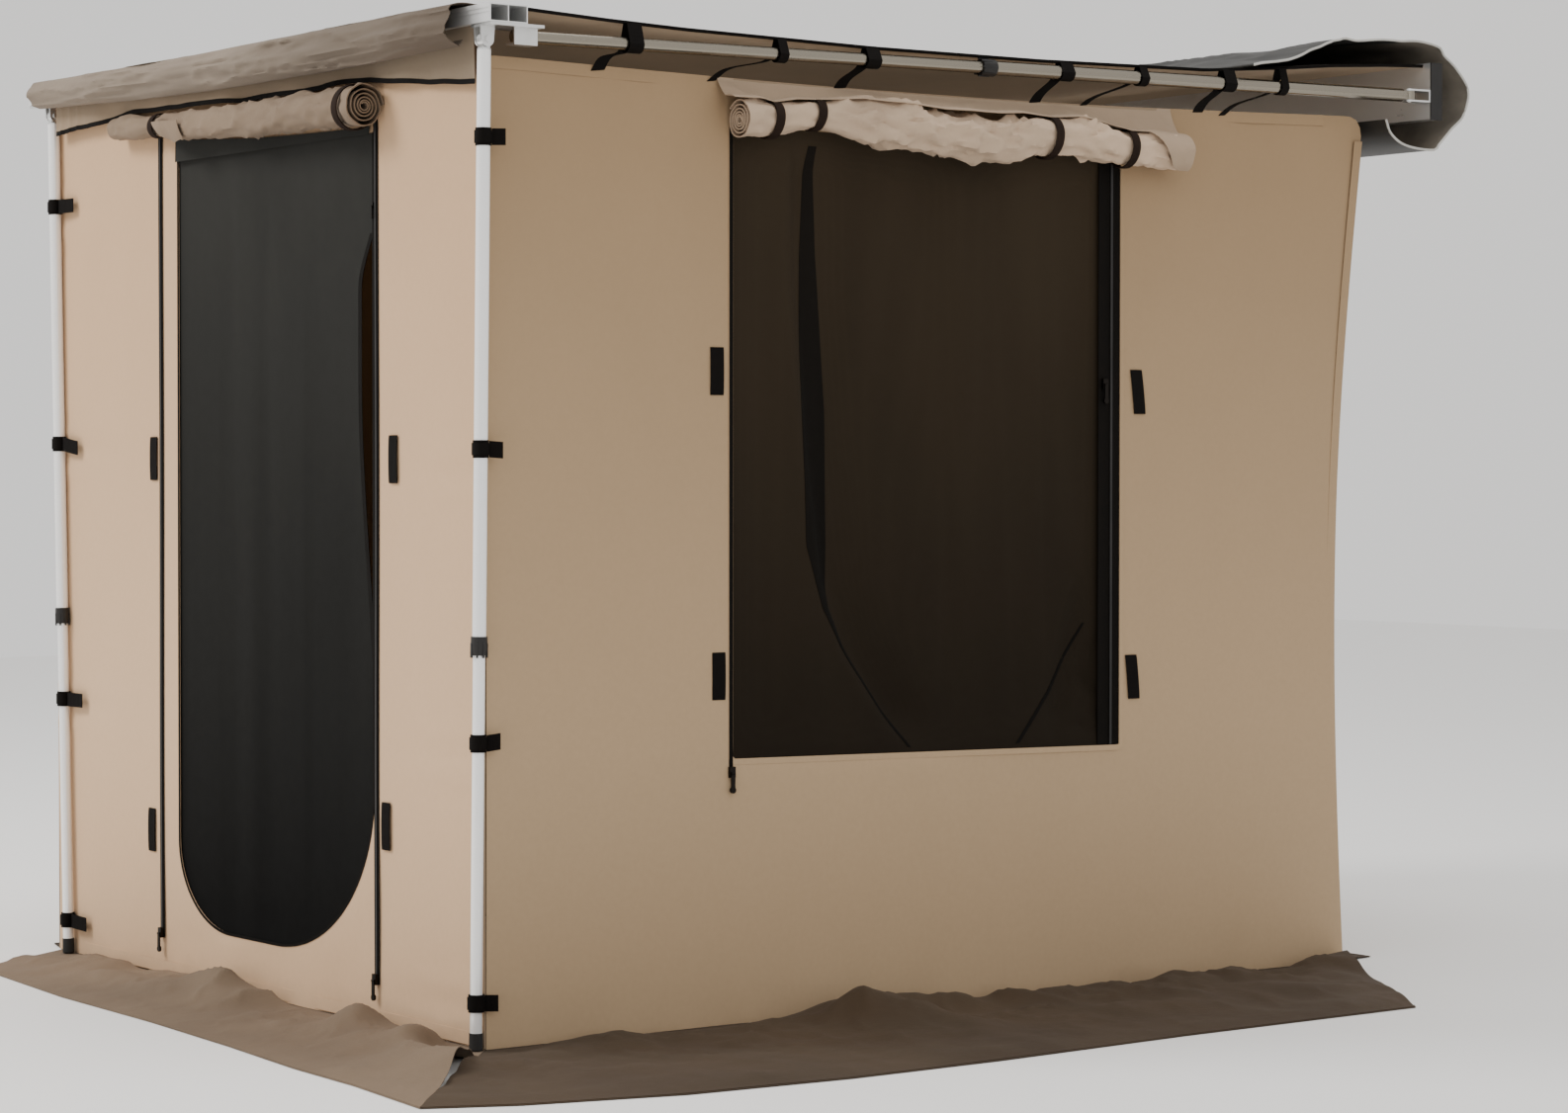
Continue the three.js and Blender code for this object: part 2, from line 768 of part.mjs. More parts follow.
piece("rack_bracket_window", rackBracket(bracketSpacing), powderBlack);
piece("rack_bracket_centre", rackBracket(0), powderBlack);
piece("rack_bracket_far", rackBracket(-bracketSpacing), powderBlack);

// Travel bag: open, its cover folded back over the canopy and its trough hanging below the rail

function canopyTopZ(y) {
  const rearZ = -canopyRearDrop;
  const frontZ = frontRailTopZ + seat + canopyThickness;
  const share = (backRailFrontY - y) / (backRailFrontY - frontRailBackY);
  return rearZ + (frontZ - rearZ) * share - canopySag * eased(canopySagShares, share);
}

function bagPath(endShare) {
  const flapTipY = backRailFrontY - bagFlap;
  const coverY = (share) => backRailFrontY - bagFlap * share;
  const lift = bagThickness + seat;
  const behindY = bagBackY - bagThickness / 2;
  const troughBottom = backRailBottomZ - bagDepth;
  const bulge = bagEndBulge * endShare;
  const troughFront = backRailFrontY - bagReach;
  const { hem, crown, fold, rear, top, shoulder } = bagSectionShares;
  const { upper, widest, lower, heel, sole, belly, toe } = bagSectionShares;
  return [
    new THREE.Vector2(flapTipY, canopyTopZ(flapTipY) + 2 * lift),
    ...[hem, crown].map(
      ([along, up]) => new THREE.Vector2(coverY(along), canopyTopZ(coverY(along)) + bagCrown * up),
    ),
    ...[fold, rear].map(([along, up]) => new THREE.Vector2(coverY(along), bagCrown * up)),
    new THREE.Vector2(backRailFrontY + backRailDepth * top[0], bagCrown * top[1]),
    new THREE.Vector2(behindY - bagThickness, bagCrown * shoulder),
    ...[upper, widest].map(
      ([out, down]) => new THREE.Vector2(behindY + bulge * out, backRailTopZ - backRailHeight * down),
    ),
    new THREE.Vector2(behindY + bulge * lower[0], backRailBottomZ + backRailHeight * lower[1]),
    new THREE.Vector2(behindY + bulge * heel[0], backRailBottomZ - bagDepth * heel[1]),
    new THREE.Vector2(backRailBackY - backRailDepth * sole[0], troughBottom + bagDepth * sole[1]),
    new THREE.Vector2(backRailFrontY, troughBottom),
    new THREE.Vector2(backRailFrontY - bagReach * belly[0], troughBottom + bagDepth * belly[1]),
    new THREE.Vector2(troughFront + bagReach * toe[0], troughBottom + bagDepth * toe[1]),
    new THREE.Vector2(troughFront, troughBottom + bagLip),
  ];
}

function travelBag() {
  const endX = backRailLength / 2 + bagEndReach;
  const plainX = bracketSpacing + bracketWidth / 2 + bagBracketGap;
  const half = [
    ...bagPlainShares.map((share) => plainX * share),
    ...bagBulgeShares.map((share) => plainX + (endX - plainX) * share),
  ];
  const stations = [...half.slice(1).map((x) => -x).reverse(), ...half];
  const rings = [];
  for (const x of stations) {
    const endShare = smooth((Math.abs(x) - plainX) / (endX - plainX));
    const spline = new THREE.SplineCurve(bagPath(endShare));
    const path = spline.getPoints(20);
    const wave = Math.sin((bagWaves * x) / endX) * bagThickness;
    rings.push(
      ribbonOutline(path, () => bagThickness).map((p, i) => {
        const onCover = p.x < backRailFrontY - bagThickness && p.y > backRailTopZ - bagDepth;
        const lift = onCover ? Math.abs(wave) : 0;
        return new THREE.Vector3(x, p.x, p.y + lift);
      }),
    );
  }
  return loftSolid(rings, (p) => new THREE.Vector2(p.y, p.z));
}

piece("travel_bag", travelBag(), bagCloth);

// Canopy: one cloth from the backing rail to the front rail, its excess rolled round that rail

function canopyPath() {
  const path = [];
  const rearY = backRailFrontY - seat;
  const frontY = frontRailBackY;
  for (const [share] of canopySagShares) {
    const y = rearY + (frontY - rearY) * share;
    path.push(new THREE.Vector2(y, canopyTopZ(y) - canopyThickness / 2));
  }
  return path;
}

function wrapPath(share, fullness) {
  const skin = wrapLayer / 2 + seat;
  const faceY = frontRailY - skin;
  const topZ = frontRailTopZ + canopyThickness / 2 + seat;
  const bulge = wrapBulge * fullness;
  const straightDrop = wrapFarDrop + ((wrapDrop - wrapFarDrop) * (share + 1)) / 2;
  const drop = straightDrop + wrapSag * (1 - share * share);
  const lift = wrapLift * eased(wrapLiftShares, share);
  return [
    new THREE.Vector2(frontRailBackY - frontRailDepth / 2, topZ),
    new THREE.Vector2(frontRailY + wrapLayer, topZ + wrapLayer * wrapEdgeShare),
    ...wrapSectionShares.map(([out, down, lifted], i) => {
      const rise = i === 0 ? Math.max(lift, 0) : lift;
      return new THREE.Vector2(faceY - bulge * out, frontRailTopZ - drop * down + rise * lifted);
    }),
  ];
}

function canopyGeometry() {
  const stations = 16;
  const flatPoints = canopySagShares.length;
  const rings = [];
  for (let k = 0; k <= stations; k += 1) {
    const share = (2 * k) / stations - 1;
    const wrinkle = (Math.sin(wrapWaves[0] * share + 1) + Math.sin(wrapWaves[1] * share)) / 2;
    const fullness = 1 + (wrapWrinkleShare * wrinkle * wrapWrinkle) / wrapLayer;
    const path = [...canopyPath(), ...wrapPath(share, fullness)];
    const last = path.length - 1;
    const thickness = (t) => {
      const along = t * last - flatPoints;
      return canopyThickness + (wrapLayer - canopyThickness) * smooth(along / 2);
    };
    const outline = ribbonOutline(path, thickness);
    const width = (i) => {
      const along = Math.min(i, outline.length - 1 - i) - flatPoints + 1;
      return sideX + canopyReach - (canopyReach + wrapInset) * smooth(along / 2);
    };
    rings.push(outline.map((p, i) => new THREE.Vector3(share * width(i), p.x, p.y)));
  }
  return loftSolid(rings, (p) => new THREE.Vector2(p.y, p.z));
}

piece("canopy", canopyGeometry(), canvasCanopy);

// Front rail: a two-chamber aluminium extrusion with grooves in its front face

function frontRailShape() {
  const shape = new THREE.Shape();
  const grooveZs = frontGrooveShares.map((share) => frontRailTopZ - frontRailHeight * share);
  shape.moveTo(frontRailBackY, frontRailBottomZ);
  shape.lineTo(frontRailBackY, frontRailTopZ);
  shape.lineTo(frontRailY, frontRailTopZ);
  for (const z of grooveZs) {
    shape.lineTo(frontRailY, z + frontGroove / 2);
    shape.lineTo(frontRailY + frontGroove / 2, z + frontGroove / 2);
    shape.lineTo(frontRailY + frontGroove / 2, z - frontGroove / 2);
    shape.lineTo(frontRailY, z - frontGroove / 2);
  }
  shape.lineTo(frontRailY, frontRailBottomZ);
  shape.closePath();
  return shape;
}

function frontRail() {
  const midY = frontRailY + frontRailDepth / 2;
  const reach = frontRailLength / 2 + overrun;
  const z0 = frontRailBottomZ + frontRailWall;
  const z1 = frontRailTopZ - frontRailWall;
  const chambers = [
    [frontRailY + frontRailWall + frontGroove / 2, midY - frontRailWall / 2],
    [midY + frontRailWall / 2, frontRailBackY - frontRailWall],
  ].map(([y0, y1]) => block(-reach, reach, y0, y1, z0, z1));
  return cut(extrudeAlongX(frontRailShape(), frontRailLength), ...chambers);
}

piece("front_rail", frontRail(), aluminium);

// Valance: the short flap that hangs from the front rail, wavy along its lower edge

function valancePoint(u, v) {
  const startX = valanceLegGap - farLegTopX;
  const x = startX + (legTopX - valanceLegGap - startX) * u;
  const topZ = frontRailBottomZ - seat;
  const ripple = valanceWave * Math.sin(valanceWaves * u) * v;
  const drop = valanceDrop * eased(valanceDropShares, u);
  const y = frontRailY + valanceSetback + ripple / 2;
  return new THREE.Vector3(x, y, topZ - drop * v + ripple * valanceRippleShare * v);
}

const valance = sheetSolid(
  34,
  3,
  valancePoint,
  () => new THREE.Vector3(0, valanceThickness, 0),
);
piece("front_valance", valance, canvasLight);

// Room walls

function wallTopZ(y, drop) {
  const share = (vehicleWallY + wallLean - y) / roomDepth;
  const sag = wallTopSag * Math.sin(Math.PI * Math.min(Math.max(share, 0), 1));
  return -drop - wallTopFall * share - sag;
}

// The vehicle wall's outer face at a height: it leans towards the vehicle and hangs hollow.
function vehicleEdgeY(z) {
  const share = (z - wallBottomZ) / (-wallTopDrop - wallBottomZ);
  return vehicleWallY + wallLean * share - wallHollow * Math.sin(Math.PI * share);
}

// The outline of a side wall across Y and Z, with its leaning edge at the vehicle.
function sideWallShape(drop) {
  const shape = new THREE.Shape();
  const startY = frontWallY + wallThickness + seat;
  const cornerZ = -drop - wallCornerRadius;
  const topY = vehicleEdgeY(cornerZ);
  const steps = 10;
  shape.moveTo(startY, wallBottomZ);
  for (let i = 0; i <= steps; i += 1) {
    const z = wallBottomZ + ((cornerZ - wallBottomZ) * i) / steps;
    shape.lineTo(vehicleEdgeY(z), z);
  }
  shape.quadraticCurveTo(topY, -drop, topY - wallCornerRadius, wallTopZ(topY - wallCornerRadius, drop));
  for (let i = 1; i <= steps; i += 1) {
    const y = topY - wallCornerRadius + ((startY - topY + wallCornerRadius) * i) / steps;
    shape.lineTo(y, wallTopZ(y, drop));
  }
  shape.closePath();
  return shape;
}

function windowWall() {
  const shape = sideWallShape(wallTopDrop);
  const opening = new THREE.Path();
  opening.moveTo(windowNearY, windowSillZ + windowSillRise);
  opening.lineTo(windowFarY, windowSillZ);
  opening.lineTo(windowFarY, windowTopZ);
  opening.lineTo(windowNearY, windowTopZ);
  opening.closePath();
  shape.holes.push(opening);
  const wall = extrudeAlongX(shape, wallThickness, 5).translate(sideX - wallThickness / 2, 0, 0);
  const tabs = windowTabShares.map(([along, up]) => {
    const y = frontWallY + roomDepth * along;
    const z = groundZ + groundDrop * up;
    return block(
      sideX - wallThickness / 2,
      sideX + tabThickness,
      y - tabWidth / 2,
      y + tabWidth / 2,
      z - tabHeight / 2,
      z + tabHeight / 2,
    );
  });
  const zipTape = block(
    sideX - wallThickness / 2,
    sideX + zipThickness / 2,
    windowNearY - seat - zipWidth,
    windowNearY - seat,
    windowSillZ - windowZipTail,
    windowTopZ,
  );
  return join(wall, ...tabs, zipTape);
}

piece("window_wall", windowWall(), canvasSide);

const farWallDrop = wallTopDrop + armStack;
const farWall = extrudeAlongX(sideWallShape(farWallDrop), wallThickness, 5).translate(
  -sideX + wallThickness / 2,
  0,
  0,
);
piece("far_wall", farWall, canvasSide);

function vehicleWall() {
  const topZ = -farWallDrop - wallCornerRadius;
  const steps = 10;
  const heights = Array.from(
    { length: steps + 1 },
    (_, i) => wallBottomZ + ((topZ - wallBottomZ) * i) / steps,
  );
  const outer = heights.map((z) => new THREE.Vector2(vehicleEdgeY(z), z));
  const inner = heights.map((z) => new THREE.Vector2(vehicleEdgeY(z) - wallThickness, z));
  const width = roomWidth - 2 * wallThickness - 2 * seat;
  return extrudeAlongX(new THREE.Shape([...outer, ...inner.reverse()]), width);
}

piece("vehicle_wall", vehicleWall(), canvasSide);

// The door's outline, drawn round its lower corners, grown by a margin.
function doorOutline(path, margin, topZ) {
  const left = doorLeftX - margin;
  const right = doorRightX + margin;
  const bottom = doorSillZ - margin;
  const [farW, farH] = [doorFarCornerWidth, doorFarCornerHeight];
  const [nearW, nearH] = [doorNearCornerWidth, doorNearCornerHeight];
  path.moveTo(left, topZ);
  path.lineTo(left, bottom + farH);
  path.absellipse(left + farW, bottom + farH, farW, farH, Math.PI, 1.5 * Math.PI);
  path.lineTo(right - nearW, bottom);
  path.absellipse(right - nearW, bottom + nearH, nearW, nearH, 1.5 * Math.PI, 2 * Math.PI);
  path.lineTo(right, topZ);
  path.closePath();
  return path;
}

function frontWall() {
  const shape = new THREE.Shape();
  shape.moveTo(-sideX, wallBottomZ);
  shape.lineTo(sideX, wallBottomZ);
  shape.lineTo(sideX, frontRailBottomZ - cornerPlate - 2 * seat);
  shape.lineTo(-sideX, frontRailBottomZ - cornerPlate - 2 * seat);
  shape.closePath();
  shape.holes.push(doorOutline(new THREE.Path(), 0, doorTopZ));
  const wall = panelAcrossX(shape, frontWallY, wallThickness, 10);
  const tabs = doorTabShares.map(([across, up]) => {
    const x = roomWidth * across;
    const z = groundZ + groundDrop * up;
    return block(
      x - tabWidth / 2,
      x + tabWidth / 2,
      frontWallY - tabThickness,
      frontWallY + wallThickness / 2,
      z - tabHeight / 2,
      z + tabHeight / 2,
    );
  });
  return join(wall, ...tabs);
}

piece("front_wall", frontWall(), canvasLight);

// Meshes behind the door and the window

const doorMeshY = frontWallY + wallThickness + seat;
const doorMeshTopZ = doorTopZ + meshLap;

function doorMeshPoint(u, v) {
  const left = doorLeftX - meshLap;
  const right = doorRightX + meshLap;
  const bottom = doorSillZ - meshLap;
  const cornerTop = bottom + doorNearCornerHeight;
  const turn = (Math.PI / 2) * Math.max(v - meshStraightShare, 0) / (1 - meshStraightShare);
  const straight = Math.min(v / meshStraightShare, 1);
  const drop = doorNearCornerHeight * Math.sin(turn);
  const z = doorMeshTopZ + (cornerTop - doorMeshTopZ) * straight - drop;
  const drawnIn = (width, height) => {
    const inCorner = Math.min(Math.max((bottom + height - z) / height, 0), 1);
    return width * (1 - Math.sqrt(1 - inCorner * inCorner));
  };
  const down = (doorMeshTopZ - z) / (doorMeshTopZ - bottom);
  const { start, rise, end, fall } = meshSlackShares;
  const slack = doorMeshSlack * smooth((down - start) / rise) * (1 - smooth((down - end) / fall));
  const x0 = left + drawnIn(doorFarCornerWidth, doorFarCornerHeight);
  const x1 = right - drawnIn(doorNearCornerWidth, doorNearCornerHeight) - slack;
  const inside = Math.sin(Math.PI * u) * Math.sin(Math.PI * Math.min(v * meshFootShare, 1));
  const ripple = Math.sin(doorMeshWaves[0] * u + doorMeshWaves[1] * v);
  const fold = doorMeshFold * inside * (1 + meshRippleShare * ripple);
  return new THREE.Vector3(x0 + (x1 - x0) * u, doorMeshY + fold, z);
}

const doorMesh = sheetSolid(
  10,
  16,
  doorMeshPoint,
  () => new THREE.Vector3(0, meshThickness, 0),
);
piece("door_mesh", doorMesh, meshDoorCloth);

function windowMeshPoint(u, v) {
  const y = windowNearY - meshLap + (windowWidth + 2 * meshLap) * u;
  const sillZ = windowSillZ + windowSillRise * (1 - u);
  const z = windowTopZ + meshLap - (windowTopZ - sillZ + 2 * meshLap) * v;
  const fromEdge = (at) => smooth((0.5 - Math.abs(at - 0.5)) / windowRimShare);
  const rim = fromEdge(u) * fromEdge(v);
  const { place, lean, width, depth } = windowFoldShares;
  const main = Math.exp(-(((u - place - lean * v * v) / width) ** 2));
  const { lean: cornerLean, width: cornerWidth, depth: cornerDepth } = windowCornerShares;
  const corner = Math.exp(-(((u - 1 + cornerLean * (1 - v)) / cornerWidth) ** 2)) * v;
  const ripple = Math.sin(4 * Math.PI * u);
  const folds = depth * main + cornerDepth * corner + windowRippleShare * ripple;
  const fold = windowMeshFold * rim * folds;
  return new THREE.Vector3(sideX - wallThickness - seat - Math.abs(fold), y, z);
}

const windowMesh = sheetSolid(
  14,
  10,
  windowMeshPoint,
  () => new THREE.Vector3(-meshThickness, 0, 0),
);
piece("window_mesh", windowMesh, meshWindowCloth);

// Zips: tapes sewn beside the door, and a closing strip down the window's edge

const rightZipX = doorRightX + zipInset;
const leftZipX = doorLeftX - doorZipLeftInset;
const zipTopZ = frontRailBottomZ - zipTopDrop;
const zipBottomZ = groundZ + zipBottomHeight;

for (const [name, x] of [
  ["door_zip_window_side", rightZipX],
  ["door_zip_far_side", leftZipX],
]) {
  const tape = block(
    x - zipWidth / 2,
    x + zipWidth / 2,
    frontWallY - seat - zipThickness,
    frontWallY - seat,
    zipBottomZ,
    zipTopZ,
  );
  piece(name, tape, webbing);
}

const windowZip = block(
  sideX - wallThickness,
  sideX - wallThickness / 4,
  windowFarY - seat - windowZipWidth,
  windowFarY - seat,
  windowSillZ + windowSillRise * (windowZipWidth / windowWidth) + 2 * seat,
  windowTopZ - seat,
);
piece("window_zip_strip", windowZip, webbing);

// A zip slider with its pull hanging down, its back at the origin and facing -Y.
function zipSlider(scale = 1) {
  const body = block(-sliderWidth / 2, sliderWidth / 2, -sliderDepth, 0, 0, sliderHeight);
  const bridgeRadius = sliderDepth / 2;
  const hingeZ = sliderHeight * pullHingeShare;
  const bridge = bar(
    bridgeRadius,
    new THREE.Vector3(-pullWidth / 2, -sliderDepth, hingeZ),
    new THREE.Vector3(pullWidth / 2, -sliderDepth, hingeZ),
    10,
  );
  const pull = block(
    -pullWidth / 2,
    pullWidth / 2,
    -sliderDepth - pullThickness,
    -sliderDepth + pullThickness / 4,
    hingeZ - pullLength,
    hingeZ,
  );
  const knob = bar(
    pullWidth * pullKnobShare,
    new THREE.Vector3(0, -sliderDepth - pullThickness, hingeZ - pullLength),
    new THREE.Vector3(0, -sliderDepth + pullThickness, hingeZ - pullLength),
    10,
  );
  return join(body, bridge, pull, knob).scale(scale, scale, scale);
}

for (const [name, x] of [
  ["door_zip_slider_window_side", rightZipX],
  ["door_zip_slider_far_side", leftZipX],
]) {
  const slider = piece(name, zipSlider(), zipMetal);
  slider.position.set(x, frontWallY - zipThickness - 2 * seat, zipBottomZ);
}

const meshSlider = piece("door_mesh_slider", zipSlider(meshSliderShare), zipMetal);
meshSlider.position.set(
  doorRightX + meshSliderInset,
  frontWallY - seat,
  doorTopZ - meshSliderDrop,
);

const nearSlider = piece("window_zip_slider_near", zipSlider(), zipMetal);
nearSlider.rotation.z = Math.PI / 2;
nearSlider.position.set(
  sideX + zipThickness / 2 + seat,
  windowNearY - seat - zipWidth / 2,
  windowSillZ - windowZipTail + seat,
);

const windowSlider = piece("window_zip_slider", zipSlider(), zipMetal);
windowSlider.rotation.z = Math.PI / 2;
windowSlider.position.set(
  sideX - wallThickness / 4 + seat,
  windowFarY - windowZipWidth * windowSliderPlaceShare,
  windowSillZ + (windowTopZ - windowSillZ) * windowSliderShare,
);

// Rolled flaps: spiral rolls that sag between the straps that tie them up

// The closed outline of a sheet rolled up, with an outer radius of one.
function rolledSection() {
  const steps = 18;
  const layerShare = 1 - rollGapShare;
  const pitch = (1 - rollCoreShare) / (rollTurns + layerShare / 2);
  const points = [[], []];
  for (let i = 0; i <= steps; i += 1) {
    const angle = (2 * Math.PI * rollTurns * i) / steps;
    const radius = rollCoreShare + (pitch * rollTurns * i) / steps;
    const thin = i === steps ? rollEdgeShare : 1;
    const half = (pitch * layerShare * thin) / 2;
    points[0].push(new THREE.Vector2(Math.cos(angle), Math.sin(angle)).multiplyScalar(radius + half));
    points[1].push(new THREE.Vector2(Math.cos(angle), Math.sin(angle)).multiplyScalar(radius - half));
  }
  return [...points[0], ...points[1].reverse()];
}

// A roll along X, about its own axis, with straps at some shares of its length.
function rolledFlap(length, radius, taperShare, sagShare, strapShares, swellShare) {
  const stations = 11;
  const section = rolledSection();
  const rings = [];
  const pinchAt = (share) =>
    strapShares.reduce((sum, at) => sum + Math.exp(-(((share - at) / rollPinchWidthShare) ** 2)), 0);
  const middle = (strapShares[0] + strapShares[strapShares.length - 1]) / 2;
  const radiusAt = (share) => radius * (taperShare + (1 - taperShare) * smooth(share));
  const droopAt = (share) =>
    radius * sagShare * Math.exp(-(((share - middle) / rollDroopShare) ** 2));
  const stationShares = Array.from({ length: stations + 1 }, (_, k) => k / stations);
  for (const at of strapShares) {
    stationShares[Math.min(Math.round(at * stations), stations - 1)] = at;
  }
  for (const share of stationShares) {
    const opening = smooth((share - rollSwellShares.start) / rollSwellShares.length);
    const swell = 1 - rollPinchShare * pinchAt(share) + swellShare * opening;
    const girth = radiusAt(share) * Math.min(swell, 1);
    const droop = droopAt(share);
    const twist = rollTwistShare * share;
    rings.push(
      section.map((p) => {
        const turned = p.clone().rotateAround(new THREE.Vector2(), twist);
        return new THREE.Vector3((share - 0.5) * length, turned.x * girth, turned.y * girth - droop);
      }),
    );
  }
  let roll = solidOf(loftSolid(rings, (p) => new THREE.Vector2(p.y, p.z)));
  for (const share of strapShares) {
    const x = (share - 0.5) * length;
    const outer = radiusAt(share) * rollWaistShare + rollStrapThickness;
    const inner = outer - 2 * rollStrapThickness;
    const band = tube(outer, inner, -rollStrapWidth / 2, rollStrapWidth / 2, 14)
      .rotateY(Math.PI / 2)
      .translate(x, 0, -droopAt(share));
    roll = roll.add(solidOf(band));
  }
  return geometryOf(roll);
}

// How far a geometry reaches along +Y from its origin.
function reachAlongY(geometry) {
  geometry.computeBoundingBox();
  return geometry.boundingBox.max.y;
}

const doorRoll = piece(
  "door_roll",
  rolledFlap(
    doorRollLength,
    doorRollRadius,
    doorRollTaperShare,
    doorRollSagShare,
    doorRollStrapShares,
    doorRollSwellShare,
  ),
  canvasLight,
);
doorRoll.rotation.y = Math.atan2(doorRollRise, doorRollLength);
doorRoll.position.set(
  doorRollShift,
  frontWallY - seat - reachAlongY(doorRoll.geometry),
  frontRailBottomZ - doorRollDrop + doorRollRise / 2,
);

const windowRoll = piece(
  "window_roll",
  rolledFlap(
    windowRollLength,
    windowRollRadius,
    1,
    windowRollSagShare,
    windowRollStrapShares,
    windowRollSwellShare,
  ),
  canvasLight,
);
windowRoll.rotation.set(0, -Math.atan2(windowRollRise, windowRollLength), Math.PI / 2, "ZYX");
windowRoll.position.set(
  sideX + seat + reachAlongY(windowRoll.geometry),
  (windowNearY + windowFarY) / 2 + windowRollShift,
  -wallTopDrop - windowRollDrop,
);

// Skirts: flaps that lie on the ground round the room

// A skirt between an inner line at the wall and an outer line on the ground.
function skirtSheet(columns, rows, innerAt, outerAt, waviness) {
  const face = (u, v) => {
    const out = v * v;
    const point = innerAt(u).clone().lerp(outerAt(u), out);
    const footX = point.x > 0 ? legFootX : -farLegFootX;
    const fromLeg = Math.abs(point.x - footX) - footClearance;
    const beforeLeg = point.y < frontWallY + footClearance;
    const calm = beforeLeg ? smooth(fromLeg / footClearance) : 1;
    const hump = Math.sin(Math.PI * Math.min(Math.max(out - flatShare, 0) * skirtHumpShare, 1)) ** 2;
    const [long, short] = skirtWaves.map(([along, outward]) => Math.sin(along * u + outward * out));
    const [level, longShare, shortShare] = skirtRippleShares;
    const ripple = level + longShare * long + shortShare * short;
    point.z = groundZ + waviness * hump * ripple * calm;
    return point;
  };
  return sheetSolid(columns, rows, face, () => new THREE.Vector3(0, 0, skirtThickness));
}

const skirtInnerX = sideX - wallThickness;
const skirtInnerY = frontWallY + wallThickness;
const cornerX = sideX + windowSkirtWidth * windowSkirtShares[0][1];
const cornerY = frontWallY - frontSkirtWidth * frontSkirtShares[frontSkirtShares.length - 1][1];

const frontSkirt = skirtSheet(
  22,
  5,
  (u) => new THREE.Vector3(-skirtInnerX + 2 * skirtInnerX * u - skirtGap, skirtInnerY, 0),
  (u) => {
    const startX = -sideX + frontSkirtWidth * frontSkirtStartShare;
    const y = frontWallY - frontSkirtWidth * eased(frontSkirtShares, u);
    return new THREE.Vector3(startX + (cornerX - skirtGap - startX) * u, y, 0);
  },
  skirtWave,
);
piece("front_skirt", frontSkirt, canvasSkirt);

const windowSkirt = skirtSheet(
  22,
  5,
  (u) => new THREE.Vector3(skirtInnerX, skirtInnerY + (vehicleWallY - skirtInnerY) * u, 0),
  (u) => {
    const endY = vehicleWallY - windowSkirtWidth * windowSkirtEndShare;
    const x = sideX + windowSkirtWidth * eased(windowSkirtShares, u);
    return new THREE.Vector3(x, cornerY + (endY - cornerY) * u, 0);
  },
  skirtWave,
);
piece("window_skirt", windowSkirt, canvasSkirt);

const farSkirt = skirtSheet(
  10,
  5,
  (u) => {
    const startY = skirtInnerY + skirtGap;
    return new THREE.Vector3(-skirtInnerX - skirtGap, startY + (vehicleWallY - startY) * u, 0);
  },
  (u) => {
    const startY = skirtInnerY + hiddenSkirtWidth * farSkirtEndShare;
    const endY = vehicleWallY - hiddenSkirtWidth * farSkirtEndShare;
    return new THREE.Vector3(-sideX - hiddenSkirtWidth, startY + (endY - startY) * u, 0);
  },
  skirtWave * hiddenWaveShare,
);
piece("far_skirt", farSkirt, canvasSkirt);

const vehicleSkirt = skirtSheet(
  10,
  5,
  (u) => {
    const half = skirtInnerX - skirtGap;
    return new THREE.Vector3(-half + 2 * half * u, vehicleWallY - wallThickness, 0);
  },
  (u) => {
    const half = sideX - hiddenSkirtWidth * vehicleSkirtEndShare;
    return new THREE.Vector3(-half + 2 * half * u, vehicleWallY + hiddenSkirtWidth, 0);
  },
  skirtWave * hiddenWaveShare,
);
piece("vehicle_skirt", vehicleSkirt, canvasSkirt);

// Corner brackets: castings under the front rail's ends, with a clevis for the leg and a hook,
// open towards the room, that the arm's tip rests in

function cornerBracket(pivotX, armFrontZ) {
  const plateTop = frontRailBottomZ - seat;
  const plateBottom = plateTop - cornerPlate;
  const outerX = frontRailLength / 2;
  const plate = block(
    pivotX - cornerMargin,
    outerX,
    frontRailY + cheekThickness,
    frontRailY + cornerReach,
    plateBottom,
    plateTop,
  );
  const cheeks = [-1, 1].map((hand) => {
    const profile = new THREE.Shape();
    profile.moveTo(legY - cheekFlare, plateBottom + cornerPlate / 2);
    profile.lineTo(legY - cheekHalfWidth, legPivotZ);
    profile.absarc(legY, legPivotZ, cheekHalfWidth, Math.PI, 2 * Math.PI);
    profile.lineTo(legY + cheekFlare, plateBottom + cornerPlate / 2);
    profile.closePath();
    const offset = legHeadThickness / 2 + clevisGap + cheekThickness / 2;
    return extrudeAlongX(profile, cheekThickness, 10).translate(pivotX + hand * offset, 0, 0);
  });
  const pinHalf = legHeadThickness / 2 + clevisGap + cheekThickness + cheekThickness / 2;
  const pin = bar(
    legPinRadius,
    new THREE.Vector3(pivotX - pinHalf, legY, legPivotZ),
    new THREE.Vector3(pivotX + pinHalf, legY, legPivotZ),
    14,
  );
  const pinHeads = [-1, 1].map((hand) => {
    const start = pivotX + hand * (pinHalf - cheekThickness / 2 - seat);
    return bar(
      legPinRadius * legPinHeadShare,
      new THREE.Vector3(start, legY, legPivotZ),
      new THREE.Vector3(start + hand * cheekThickness, legY, legPivotZ),
      6,
    );
  });
  const hookOuter = armX + armInnerRadius + runningGap;
  const shelfTop = armFrontZ - armInnerRadius - runningGap;
  const hookY = frontRailY + cornerReach;
  const hookSide = block(
    hookOuter,
    hookOuter + hookWall,
    hookY - hookLength,
    hookY,
    shelfTop - hookWall,
    plateTop - cornerPlate / 2,
  );
  const shelf = block(
    armX - armInnerRadius,
    hookOuter + hookWall,
    hookY - hookLength,
    hookY,
    shelfTop - hookWall,
    shelfTop,
  );
  return join(plate, ...cheeks, pin, ...pinHeads, hookSide, shelf);
}

// Arms: telescoping tubes on vertical hinges at the ends of the backing rail

